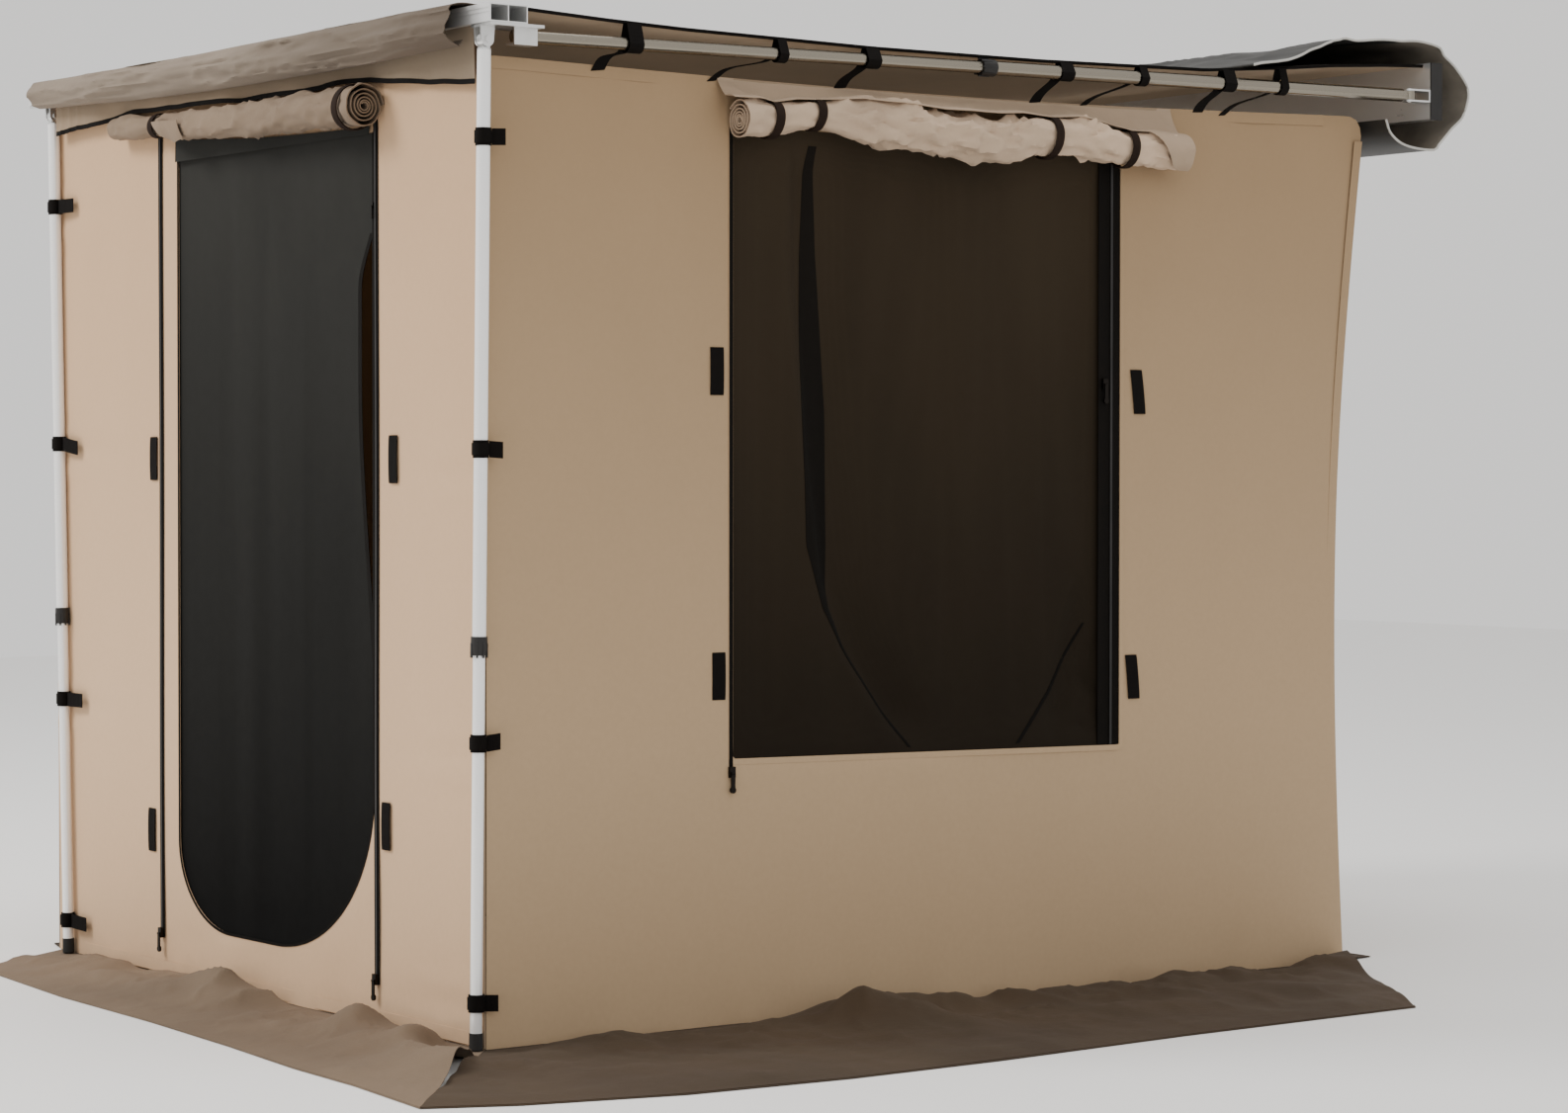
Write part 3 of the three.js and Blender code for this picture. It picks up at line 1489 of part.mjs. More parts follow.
function armFork(pinZ) {
  const gap = armHeadThickness / 2 + runningGap;
  const baseFrontY = backRailFrontY - seat - forkBase;
  const base = block(
    -forkWidth / 2,
    forkWidth / 2,
    baseFrontY,
    backRailFrontY - seat,
    pinZ - gap - forkPlate,
    pinZ + gap + forkPlate,
  );
  const plates = [-1, 1].map((hand) => {
    const shape = new THREE.Shape();
    shape.moveTo(-forkWidth / 2, baseFrontY + forkBase / 2);
    shape.lineTo(-armHeadRadius, armPinY);
    shape.absarc(0, armPinY, armHeadRadius, Math.PI, 2 * Math.PI);
    shape.lineTo(forkWidth / 2, baseFrontY + forkBase / 2);
    shape.closePath();
    const bottom = pinZ + (hand > 0 ? gap : -gap - forkPlate);
    const settings = { depth: forkPlate, bevelEnabled: false, curveSegments: 10 };
    return new THREE.ExtrudeGeometry(shape, settings).translate(0, 0, bottom);
  });
  const pinHalf = gap + forkPlate + forkPinHead;
  const pin = bar(
    armPinRadius,
    new THREE.Vector3(0, armPinY, pinZ - pinHalf),
    new THREE.Vector3(0, armPinY, pinZ + pinHalf),
    14,
  );
  return join(base, ...plates, pin);
}

// The outer tube with its hinge head, drawn from the pin at the origin along -Y.
function armOuter() {
  const boreRadius = armPinRadius + runningGap;
  const half = armHeadThickness / 2;
  const head = tube(armHeadRadius, boreRadius, -half, half, 16);
  const neckHalf = half * armNeckShare;
  const neck = block(
    -neckHalf,
    neckHalf,
    -armNeck - armPlug / 2,
    -boreRadius - armOuterWall,
    -half,
    half,
  );
  const plug = bar(
    armOuterRadius - armOuterWall / 2,
    new THREE.Vector3(0, -armNeck, 0),
    new THREE.Vector3(0, -armNeck - armPlug, 0),
  );
  const sleeve = tube(armOuterRadius, armOuterRadius - armOuterWall, armNeck, armOuterLength);
  return join(head, neck, plug, sleeve.rotateX(Math.PI / 2));
}

function armInner() {
  const start = armOuterLength - armInnerHidden;
  const sleeve = tube(armInnerRadius, armInnerRadius - armInnerWall, start, armLength - armPlug / 2);
  const tip = bar(
    armInnerRadius,
    new THREE.Vector3(0, -armLength + armPlug, 0),
    new THREE.Vector3(0, -armLength, 0),
  );
  return join(sleeve.rotateX(Math.PI / 2), tip);
}

// A twist lock: a ribbed collar round the end of a tube, closing on the tube inside it.
// Its axis is Z, it covers the outer tube below zero and the inner tube above.
function twistLock(outerTube, innerTube, wall) {
  const back = -lockLength * lockBackShare;
  const front = lockLength * (1 - lockBackShare);
  const bore = outerTube + seat;
  const lip = innerTube + seat;
  const rim = bore + wall;
  const profile = [
    [bore, back],
    [rim, back],
    [rim + lockRibDepth * lockRimShare, 0],
    [rim - wall / 4, front],
    [lip, front],
    [lip, seat],
    [bore, seat],
    [bore, back],
  ];
  const body = new THREE.LatheGeometry(
    profile.map(([r, z]) => new THREE.Vector2(r, z)),
    16,
  ).rotateX(Math.PI / 2);
  let lock = solidOf(body);
  for (let i = 0; i < lockRibs; i += 1) {
    const rib = block(
      rim - wall / 2,
      rim + lockRibDepth,
      -lockRibWidth / 2,
      lockRibWidth / 2,
      -front * lockRibShares.front,
      -back * lockRibShares.back,
    ).rotateZ((2 * Math.PI * i) / lockRibs);
    lock = lock.add(solidOf(rib));
  }
  return geometryOf(lock);
}

// Loops of webbing that hang the side wall from the arm, sewn to one tape under the canopy's hem
function armStraps(armAt, wallDrop) {
  const halfTape = armStrapTape / 2;
  const tapeTop = (y) => canopyTopZ(y) - canopyThickness - armStrapHang;
  const shares = [...wideStrapShares, ...narrowStrapShares].sort((a, b) => a - b);
  const firstY = armPinY - armLength * shares[0] + armStrapWide;
  const lastY = armPinY - armLength * shares[shares.length - 1] - armStrapWide;
  const bends = canopySagShares.map(
    ([share]) => backRailFrontY + (frontRailBackY - backRailFrontY) * share,
  );
  const tapeYs = [firstY, ...bends.filter((y) => y < firstY && y > lastY), lastY];
  const tape = sheetSolid(
    tapeYs.length - 1,
    1,
    (u, v) => {
      const y = tapeYs[Math.round(u * (tapeYs.length - 1))];
      return new THREE.Vector3(armX - halfTape + armStrapTape * v, y, tapeTop(y));
    },
    () => new THREE.Vector3(0, 0, -armStrapThickness),
  );
  let straps = solidOf(tape);
  const add = (share, width, tailShare) => {
    const y = armPinY - armLength * share;
    const reach = armOuterRadius + armStrapSlack;
    const topZ = tapeTop(y) - armStrapThickness / 2;
    const bottomZ = armAt(y) - reach;
    const outline = new THREE.Shape();
    const ringRadius = reach + armStrapThickness;
    outline.moveTo(armX - ringRadius, armAt(y));
    outline.absarc(armX, armAt(y), ringRadius, Math.PI, 2 * Math.PI);
    outline.lineTo(armX + ringRadius, topZ);
    outline.lineTo(armX - ringRadius, topZ);
    outline.closePath();
    const hole = new THREE.Path();
    hole.moveTo(armX - reach, armAt(y));
    hole.absarc(armX, armAt(y), reach, Math.PI, 2 * Math.PI);
    hole.lineTo(armX + reach, topZ - armStrapThickness);
    hole.lineTo(armX - reach, topZ - armStrapThickness);
    hole.closePath();
    outline.holes.push(hole);
    const loop = panelAcrossX(outline, y - width / 2, width, 5);
    const endY = y - armLength * tailShare;
    const endZ = wallTopZ(endY, wallDrop) - tabWidth / 2;
    const startZ = bottomZ + reach * strapTailShare;
    const thin = armStrapThickness * strapTailThinShare;
    const tail = sheetSolid(
      1,
      1,
      (u, v) => {
        const alongY = y + (endY - y) * v + (u - 0.5) * width;
        const x = armX - reach + armStrapThickness / 2 + (sideX + 2 * seat - armX + reach) * v;
        return new THREE.Vector3(x, alongY, startZ + (endZ - startZ) * v);
      },
      () => new THREE.Vector3(-thin, 0, -thin),
    );
    straps = straps.add(solidOf(loop)).add(solidOf(tail));
  };
  for (const share of wideStrapShares) add(share, armStrapWide, wideTailShare);
  for (const share of narrowStrapShares) add(share, armStrapNarrow, narrowTailShare);
  return geometryOf(straps);
}

for (const [label, side, stack, pivotX] of [
  ["window", 1, 0, legTopX],
  ["far", -1, armStack, farLegTopX],
]) {
  const pinZ = -armDrop - stack;
  const armAt = (y) => pinZ - (armPinY - y) * Math.tan(armSlope);

  const corner = piece("corner_bracket_" + label, cornerBracket(pivotX, armAt(frontRailBackY)), castAlloy);
  corner.scale.x = side;

  const fork = piece("arm_hinge_" + label, armFork(pinZ), castAlloy);
  fork.position.x = side * armX;

  const plane = new THREE.Group();
  plane.position.set(side * armX, armPinY, pinZ);
  plane.rotation.x = armSlope;
  awning.add(plane);
  piece("arm_outer_tube_" + label, armOuter(), aluminium, plane);
  piece("arm_inner_tube_" + label, armInner(), aluminium, plane);
  const armLock = piece(
    "arm_lock_" + label,
    twistLock(armOuterRadius, armInnerRadius, armLockWall),
    blackPlastic,
    plane,
  );
  armLock.rotation.x = Math.PI / 2;
  armLock.position.y = -armOuterLength;

  const straps = piece("arm_straps_" + label, armStraps(armAt, wallTopDrop + stack), webbing);
  straps.scale.x = side;
}

// Legs: telescoping tubes hung from the corner brackets, each with four wall straps round it

// The casting that plugs the upper tube, with its tongue round the pivot pin at the origin.
function legHead() {
  const half = legHeadThickness / 2;
  const bore = legPinRadius + runningGap;
  const tongue = tube(legHeadRadius, bore, -half, half, 16).rotateY(Math.PI / 2);
  const plugRadius = legUpperRadius - legUpperWall - seat;
  const neckHalf = Math.sqrt(plugRadius ** 2 - half ** 2) - seat;
  const neck = block(-half, half, -neckHalf, neckHalf, -legNeck - legPlug / 2, -bore - legUpperWall);
  const plug = bar(
    plugRadius,
    new THREE.Vector3(0, 0, -legNeck - legPlug),
    new THREE.Vector3(0, 0, -legNeck + seat),
  );
  const shoulder = bar(
    legUpperRadius,
    new THREE.Vector3(0, 0, -legNeck + seat),
    new THREE.Vector3(0, 0, -legNeck + seat + legUpperWall * 2),
  );
  return join(tongue, neck, plug, shoulder);
}

function legFoot() {
  const tubeBottom = footSole;
  const outer = legLowerRadius + seat + footWall - seat / 3;
  const profile = [
    [0, 0],
    [outer - footWall, 0],
    [outer, footPadHeight / 2],
    [outer, footHeight],
    [legLowerRadius + seat, footHeight],
    [legLowerRadius + seat, tubeBottom],
    [0, tubeBottom],
  ];
  return new THREE.LatheGeometry(
    profile.map(([r, z]) => new THREE.Vector2(r, z)),
    20,
  ).rotateX(Math.PI / 2);
}

// One wall strap round a leg at the origin, from the front wall beside it, with its loose flag.
function legStrap(toWall, flagLength, flagAngle) {
  const inner = legUpperRadius + legStrapGap;
  const outer = inner + legStrapThickness;
  const half = legStrapHeight / 2;
  const start = inner + legStrapThickness / 2;
  const edge = legStrapThickness / 2;
  const loop = tube(outer, inner, -half, half, 12);
  const root = block(start, toWall.length(), -edge, edge, -half, half).rotateZ(toWall.angle());
  const flagHalf = half * strapFlagShare;
  const flag = block(start, flagLength, -edge, edge, -flagHalf, flagHalf).rotateZ(flagAngle);
  return join(loop, root, flag);
}

const strapNames = ["top", "upper", "lower", "bottom"];

for (const [label, side, topX, footX, strapShares, flagLength, flagAngle] of [
  ["window", 1, legTopX, legFootX, legStrapShares, legStrapFlag, legFlagAngle],
  ["far", -1, farLegTopX, farLegFootX, farLegStrapShares, farLegStrapFlag, 0],
]) {
  const lean = Math.atan2(topX - footX, legPivotZ - groundZ);
  const footRadius = legLowerRadius + footWall + seat;
  const soleZ = groundZ + skirtThickness + seat + footRadius * Math.sin(lean);
  const footBottom = (soleZ - legPivotZ) / Math.cos(lean);
  const tubeBottom = -legNeck - legUpperLength;
  const lowerBottom = footBottom + footSole + seat;

  const leg = new THREE.Group();
  leg.position.set(side * topX, legY, legPivotZ);
  leg.rotation.y = side * lean;
  awning.add(leg);
  piece("leg_head_" + label, legHead(), castAlloy, leg);
  const upper = tube(legUpperRadius, legUpperRadius - legUpperWall, tubeBottom, -legNeck);
  piece("leg_upper_tube_" + label, upper, aluminium, leg);
  const lower = tube(legLowerRadius, legLowerRadius - legLowerWall, lowerBottom, tubeBottom + legOverlap);
  piece("leg_lower_tube_" + label, lower, aluminium, leg);
  const lockShape = twistLock(legUpperRadius, legLowerRadius, legLockWall);
  const lock = piece("leg_lock_" + label, lockShape, blackPlastic, leg);
  lock.rotation.x = Math.PI;
  lock.position.z = tubeBottom;
  const foot = piece("leg_foot_" + label, legFoot(), rubberBlack, leg);
  foot.position.z = footBottom;

  strapNames.forEach((name, i) => {
    const z = groundZ + groundDrop * strapShares[i];
    const legX = topX - (legPivotZ - z) * Math.tan(lean);
    const wallX = Math.min(legX, sideX - legStrapInset);
    const toWall = new THREE.Vector2(side * (wallX - legX), frontWallY - seat - legY);
    toWall.y -= ((legStrapThickness / 2) * Math.abs(toWall.x)) / toWall.length();
    const shape = legStrap(toWall, flagLength, flagAngle);
    const strap = piece("leg_strap_" + label + "_" + name, shape, webbing, leg);
    strap.position.z = (z - legPivotZ) / Math.cos(lean);
  });
}

export default awning;
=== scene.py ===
# Looks of the vehicle side awning with its room: materials, cloth, webbing, camera and light.
# Lengths are in metres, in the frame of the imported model: the window faces +X, the vehicle
# stands at +Y, and +Z is up.

import json
import math

import bmesh
import bpy
import numpy as np
from mathutils import Matrix, Vector

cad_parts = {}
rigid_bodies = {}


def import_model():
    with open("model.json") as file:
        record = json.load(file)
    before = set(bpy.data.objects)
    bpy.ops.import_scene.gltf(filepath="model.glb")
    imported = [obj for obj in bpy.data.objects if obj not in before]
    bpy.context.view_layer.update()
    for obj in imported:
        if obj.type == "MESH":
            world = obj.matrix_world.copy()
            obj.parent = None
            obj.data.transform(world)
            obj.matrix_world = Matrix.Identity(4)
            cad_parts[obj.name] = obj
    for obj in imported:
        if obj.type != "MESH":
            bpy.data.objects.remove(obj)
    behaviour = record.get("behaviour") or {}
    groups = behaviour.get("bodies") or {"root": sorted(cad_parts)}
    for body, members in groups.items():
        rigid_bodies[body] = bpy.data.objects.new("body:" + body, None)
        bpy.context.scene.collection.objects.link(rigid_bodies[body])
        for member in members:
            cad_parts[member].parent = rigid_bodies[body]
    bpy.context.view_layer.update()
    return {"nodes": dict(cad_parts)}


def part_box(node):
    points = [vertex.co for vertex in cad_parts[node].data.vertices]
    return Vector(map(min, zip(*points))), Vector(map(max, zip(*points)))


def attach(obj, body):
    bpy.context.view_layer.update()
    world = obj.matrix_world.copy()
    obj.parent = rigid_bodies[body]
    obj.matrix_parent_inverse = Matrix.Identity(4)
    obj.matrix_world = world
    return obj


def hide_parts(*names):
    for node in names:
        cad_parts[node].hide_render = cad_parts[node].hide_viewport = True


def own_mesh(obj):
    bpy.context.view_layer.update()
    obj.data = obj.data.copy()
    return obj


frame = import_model()

# Camera at the photograph's place, and the stage

GROUND_Z = -2.067
SENSOR_WIDTH = 36
PHOTO_FOCUS, PHOTO_WIDTH = 3798.4, 1586  # in the photograph's pixels
CAMERA_PLACE = Vector((7.14305, -6.3517, -0.94915))
CAMERA_YAW = math.radians(-54.05)
CAMERA_PITCH = math.radians(-1.27)
CAMERA_ROLL = math.radians(-0.05)
LIGHTS = (  # name, place, what it points at, size, power and colour
    ("key", (-3.2, -8.2, 4.6), (0, -2.2, -1.1), 3.4, 560, (1, 0.98, 0.95)),
    ("fill", (8.5, -3.2, 3.4), (0.6, -1.4, -1.0), 4.5, 90, (0.97, 0.985, 1)),
    ("top", (1.0, -1.0, 6.0), (0, -1.4, -1.0), 4.0, 150, (1, 1, 1)),
)
SKY = (1, 0.985, 0.965, 1)
FLOOR_COLOUR = (0.9, 0.895, 0.885, 1)
FLOOR_ROUGHNESS = 0.85
FLOOR_HALF = 14
FLOOR_GAP = 0.0005  # so that the part's underside doesn't lie in the floor's plane


def add_object(name, data):
    made = bpy.data.objects.new(name, data)
    bpy.context.scene.collection.objects.link(made)
    return made


def add_camera():
    level = math.cos(CAMERA_PITCH)
    forward = Vector(
        (math.sin(CAMERA_YAW) * level, math.cos(CAMERA_YAW) * level, math.sin(CAMERA_PITCH))
    )
    right = Vector((math.cos(CAMERA_YAW), -math.sin(CAMERA_YAW), 0))
    turn = Matrix.Rotation(CAMERA_ROLL, 3, forward)
    axes = Matrix((turn @ right, turn @ right.cross(forward), -forward)).transposed()
    data = bpy.data.cameras.new("camera")
    data.sensor_width = SENSOR_WIDTH
    data.lens = PHOTO_FOCUS * SENSOR_WIDTH / PHOTO_WIDTH
    data.clip_end = 100
    camera = add_object("camera", data)
    camera.matrix_world = Matrix.Translation(CAMERA_PLACE) @ axes.to_4x4()
    bpy.context.scene.camera = camera


def add_lights():
    world = bpy.data.worlds.new("studio")
    world.use_nodes = True
    background = world.node_tree.nodes["Background"]
    background.inputs["Color"].default_value = SKY
    background.inputs["Strength"].default_value = 1.0
    bpy.context.scene.world = world
    for name, place, target, size, power, colour in LIGHTS:
        data = bpy.data.lights.new(name, "AREA")
        data.shape = "DISK"
        data.size = size
        data.energy = power
        data.color = colour
        light = add_object(name, data)
        light.location = place
        aim = Vector(target) - Vector(place)
        light.rotation_euler = aim.to_track_quat("-Z", "Y").to_euler()


def add_floor():
    mesh = bpy.data.meshes.new("floor")
    half, z = FLOOR_HALF, GROUND_Z - FLOOR_GAP
    corners = [(-half, -half, z), (half, -half, z), (half, half, z), (-half, half, z)]
    mesh.from_pydata(corners, [], [(0, 1, 2, 3)])
    floor = add_object("floor", mesh)
    look = bpy.data.materials.new("floor")
    look.use_nodes = True
    shader = look.node_tree.nodes["Principled BSDF"]
    shader.inputs["Base Color"].default_value = FLOOR_COLOUR
    shader.inputs["Roughness"].default_value = FLOOR_ROUGHNESS
    mesh.materials.append(look)


add_camera()
add_lights()
add_floor()

# Materials

WEAVE = 0.0021  # canvas, from thread to thread
NET_PITCH = 0.0026


class Nodes:
    """Short names for the nodes of one material."""

    def __init__(self, name):
        self.material = bpy.data.materials.new(name)
        self.material.use_nodes = True
        self.tree = self.material.node_tree
        self.shader = self.tree.nodes["Principled BSDF"]
        self.place = self.tree.nodes.new("ShaderNodeTexCoord").outputs["Object"]

    def feed(self, socket, value):
        if isinstance(value, bpy.types.NodeSocket):
            self.tree.links.new(value, socket)
        else:
            socket.default_value = value

    def node(self, kind, values):
        node = self.tree.nodes.new(kind)
        for key, value in values.items():
            self.feed(node.inputs[key], value)
        return node

    def noise(self, scale, detail, stretch=(1, 1, 1), roughness=0.5):
        mapping = self.node("ShaderNodeMapping", {"Vector": self.place, "Scale": stretch})
        values = {"Scale": scale, "Detail": detail, "Roughness": roughness}
        values["Vector"] = mapping.outputs["Vector"]
        return self.node("ShaderNodeTexNoise", values).outputs["Fac"]

    def along(self, axis):
        return self.node("ShaderNodeSeparateXYZ", {"Vector": self.place}).outputs[axis]

    def span(self, value, start, end, top=1):
        """A value's share of the way from start to end, times top."""
        values = {"Value": value, "From Min": start, "From Max": end, "To Min": 0, "To Max": top}
        return self.node("ShaderNodeMapRange", values).outputs["Result"]

    def maths(self, operation, *values):
        node = self.tree.nodes.new("ShaderNodeMath")
        node.operation = operation
        for index, value in enumerate(values):
            self.feed(node.inputs[index], value)
        return node.outputs[0]

    def ridges(self, axis, period):
        """Fine ridges across an axis, a period apart, as a height from 0 to 1."""
        turn = self.maths("MULTIPLY", self.along(axis), 2 * math.pi / period)
        return self.maths("MULTIPLY_ADD", self.maths("SINE", turn), 0.5, 0.5)

    def ramp(self, value, *stops):
        node = self.node("ShaderNodeValToRGB", {"Fac": value})
        for element, (place, colour) in zip(node.color_ramp.elements, stops):
            element.position = place
            element.color = (*colour, 1)
        return node.outputs["Color"]

    def mix(self, factor, first, second):
        node = self.tree.nodes.new("ShaderNodeMix")
        node.data_type = "RGBA"
        for index, value in ((0, factor), (6, first), (7, second)):
            self.feed(node.inputs[index], (*value, 1) if isinstance(value, tuple) else value)
        return node.outputs[2]

    def bump(self, height, distance, strength, under=None):
        values = {"Height": height, "Distance": distance, "Strength": strength}
        if under is not None:
            values["Normal"] = under
        return self.node("ShaderNodeBump", values).outputs["Normal"]

    def finish(self, colour, rough, normal, **sockets):
        sockets.update(Base_Color=colour, Roughness=rough, Normal=normal)
        for key, value in sockets.items():
            self.feed(self.shader.inputs[key.replace("_", " ")], value)
        return self.material


def shade(colour, factor):
    return tuple(channel * factor for channel in colour)


def canvas(name, colour, stain, wrinkle, scale, dirt=None, fade=None, pull=(1, 1, 0.55), painted_glow=0.0):
    """Woven cloth: broad and fine changes of colour, soft creases and a plain weave.

    dirt is a tone between two heights, fade a tone reached from one place to another on an axis,
    and pull stretches the creases."""
    n = Nodes(name)
    broad = n.noise(1.3, 4, roughness=0.55)
    base = n.ramp(broad, (0.3, shade(colour, 1 - stain)), (0.7, shade(colour, 1 + stain * 0.5)))
    if fade:
        axis, start, end, tone = fade
        base = n.mix(n.span(n.along(axis), start, end), base, tone)
    fine = n.noise(90, 3)
    base = n.mix(n.maths("MULTIPLY", fine, 0.16), base, shade(colour, 0.72))
    if dirt:
        low, high, tone = dirt
        ragged = n.maths("MULTIPLY_ADD", n.noise(7, 4), 0.16, n.along("Z"))
        base = n.mix(n.span(ragged, high, low, 0.55), base, tone)
    normal = n.bump(n.noise(scale, 5, stretch=pull, roughness=0.45), wrinkle, 0.9)
    warp = n.maths("MULTIPLY", n.ridges("X", WEAVE), n.ridges("Z", WEAVE))
    weft = n.maths("MULTIPLY", n.ridges("Y", WEAVE), n.ridges("Z", WEAVE))
    normal = n.bump(n.maths("ADD", warp, weft), 0.00016, 0.6, under=normal)
    rough = n.maths("MULTIPLY_ADD", fine, 0.12, 0.8)
    # The cloth glows with its own colour: painted light, though it is no lamp.
    if painted_glow:
        n.feed(n.shader.inputs["Emission Color"], base)
        n.feed(n.shader.inputs["Emission Strength"], painted_glow)
    soft = {"Sheen_Weight": 0.03, "Sheen_Roughness": 0.6, "Specular_IOR_Level": 0.25}
    return n.finish(base, rough, normal, **soft)


def insect_mesh(name, colour, thread, painted_foot_shade=0.75):
    """Fine net with a faint grid, broad soft changes, and painted shade darkening it towards its
    foot.
    """
    n = Nodes(name)
    broad = n.noise(2.2, 3, stretch=(1, 1, 0.35))
    base = n.ramp(broad, (0.32, shade(colour, 0.8)), (0.68, shade(colour, 1.25)))
    grid = n.maths("MAXIMUM", n.ridges("X", NET_PITCH), n.ridges("Y", NET_PITCH))
    grid = n.maths("MAXIMUM", grid, n.ridges("Z", NET_PITCH))
    base = n.mix(n.maths("MULTIPLY", grid, 0.25), base, thread)
    # Painted shade: the net darkens towards its foot.
    base = n.mix(n.span(n.along("Z"), -0.3, -1.9, painted_foot_shade), base, (0, 0, 0))
    rough = n.maths("MULTIPLY_ADD", n.noise(40, 2), 0.1, 0.85)
    return n.finish(base, rough, n.bump(grid, 0.0003, 0.5), Specular_IOR_Level=0.12)


def woven_tape(name, colour, period=0.0022):
    """Webbing with its fine ribs and a worn, slightly paler surface."""
    n = Nodes(name)
    ribs = n.maths("MULTIPLY", n.ridges("X", period), n.ridges("Y", period))
    ribs = n.maths("ADD", ribs, n.ridges("Z", period))
    worn = n.noise(35, 4)
    base = n.ramp(worn, (0.3, shade(colour, 0.8)), (0.75, shade(colour, 1.4)))
    base = n.mix(n.maths("MULTIPLY", ribs, 0.15), base, shade(colour, 1.8))
    rough = n.maths("MULTIPLY_ADD", worn, 0.15, 0.72)
    return n.finish(base, rough, n.bump(ribs, 0.0004, 0.7), Specular_IOR_Level=0.1)


def drawn_metal(name, colour, low, high, stretch, metallic=1.0):
    """Extruded or drawn metal with fine lines along it and slight smudges."""
    n = Nodes(name)
    lines = n.noise(160, 2, stretch=stretch)
    smudge = n.noise(9, 4)
    base = n.mix(n.maths("MULTIPLY", smudge, 0.35), colour, shade(colour, 0.78))
    rough = n.maths("MULTIPLY_ADD", smudge, high - low, low)
    rough = n.maths("MULTIPLY_ADD", lines, 0.06, rough)
    return n.finish(base, rough, n.bump(lines, 0.00003, 0.5), Metallic=metallic)


def cast_metal(name, colour, roughness=0.24):
    """Tumbled casting: bright, with shallow grain and darker hollows."""
    n = Nodes(name)
    cloudy = n.noise(30, 3)
    base = n.mix(n.maths("MULTIPLY", cloudy, 0.45), colour, shade(colour, 0.66))
    rough = n.maths("MULTIPLY_ADD", cloudy, 0.22, roughness)
    return n.finish(base, rough, n.bump(n.noise(420, 3), 0.00012, 0.6), Metallic=1.0)


def moulded(name, colour, roughness, scale=600, grain=0.0001, worn=1.9):
    """Moulded plastic, coating or coated cloth, finely grained and slightly dusty."""
    n = Nodes(name)
    dust = n.noise(14, 5)
    base = n.ramp(dust, (0.35, colour), (0.8, shade(colour, worn)))
    rough = n.maths("MULTIPLY_ADD", dust, 0.2, roughness - 0.1)
    normal = n.bump(n.noise(scale, 2), grain, 0.6)
    return n.finish(base, rough, normal, Specular_IOR_Level=0.3)


DIRT_LIGHT = (-2.06, -1.93, (0.33, 0.23, 0.15))
DIRT_SIDE = (-2.06, -1.97, (0.25, 0.17, 0.1))
# Painted light: the walls get lighter towards their lower parts, where less light falls.
PAINTED_LIGHT_LOW_FRONT = ("Z", -0.4, -1.5, (0.635, 0.432, 0.268))
PAINTED_LIGHT_LOW_SIDE = ("Z", -0.3, -1.5, (0.452, 0.32, 0.193))
FADE_ROLL = ("Y", -1.7, -0.9, (0.62, 0.46, 0.325))
# Painted shade: the canopy darkens towards its window end.
PAINTED_SHADE_CANOPY = ("X", 0.0, 0.95, (0.09, 0.066, 0.046))
FADE_VALANCE = ("X", -0.3, 0.7, (0.205, 0.155, 0.105))
EVEN = (1, 1, 1)
# One wall canvas in two tones: the front wall's copy is lighter as painted light, the side walls'
# copy darker as painted shade.
WALL_FRONT_PAINTED_LIGHT = canvas(
    "wall_canvas_light", (0.567, 0.371, 0.22), 0.05, 0.0022, 3.4, DIRT_LIGHT, PAINTED_LIGHT_LOW_FRONT
)
WALL_SIDE_PAINTED_SHADE = canvas(
    "wall_canvas_side", (0.34, 0.228, 0.127), 0.05, 0.0022, 3.0, DIRT_SIDE, PAINTED_LIGHT_LOW_SIDE
)
# The two rolls are one flap canvas in two tones: the door's roll darker as painted shade, the
# window's roll lighter as painted light.
DOOR_ROLLED_PAINTED_SHADE = canvas("door_rolled_canvas_painted_shade", (0.22, 0.158, 0.107), 0.3, 0.005, 12)
WINDOW_ROLLED_PAINTED_LIGHT = canvas(
    "window_rolled_canvas_painted_light", (0.48, 0.355, 0.25), 0.42, 0.009, 9, fade=FADE_ROLL
)
FLAP = canvas("flap_canvas", (0.42, 0.31, 0.215), 0.2, 0.006, 10)
CANOPY = canvas(
    "canopy_canvas", (0.205, 0.163, 0.124), 0.35, 0.006, 9, fade=PAINTED_SHADE_CANOPY, pull=(0.3, 1.2, 2.2)
)
# The canopy's underside is a lighter copy of its cloth that also glows: painted light.
UNDERSIDE_PAINTED_LIGHT = canvas("canopy_underside_painted_light", (0.5, 0.365, 0.24), 0.2, 0.003, 7, painted_glow=0.14)
VALANCE = canvas(
    "valance_canvas", (0.26, 0.19, 0.125), 0.25, 0.004, 12, fade=FADE_VALANCE, pull=(1, 1, 0.3)
)
# One skirt cloth in two tones: the front skirt's copy is lighter as painted light, the side
# skirts' copy darker as painted shade.
SKIRT_FRONT_PAINTED_LIGHT = canvas("skirt_cloth_front_painted_light", (0.192, 0.136, 0.09), 0.3, 0.006, 10, pull=EVEN)
SKIRT_SIDE_PAINTED_SHADE = canvas("skirt_cloth_side_painted_shade", (0.058, 0.036, 0.0185), 0.4, 0.006, 9, pull=EVEN)
DOOR_NET = insect_mesh("door_net", (0.0195, 0.0192, 0.0172), (0.03, 0.03, 0.027), 0.95)
WINDOW_NET = insect_mesh("window_net", (0.027, 0.0185, 0.0105), (0.042, 0.031, 0.019))
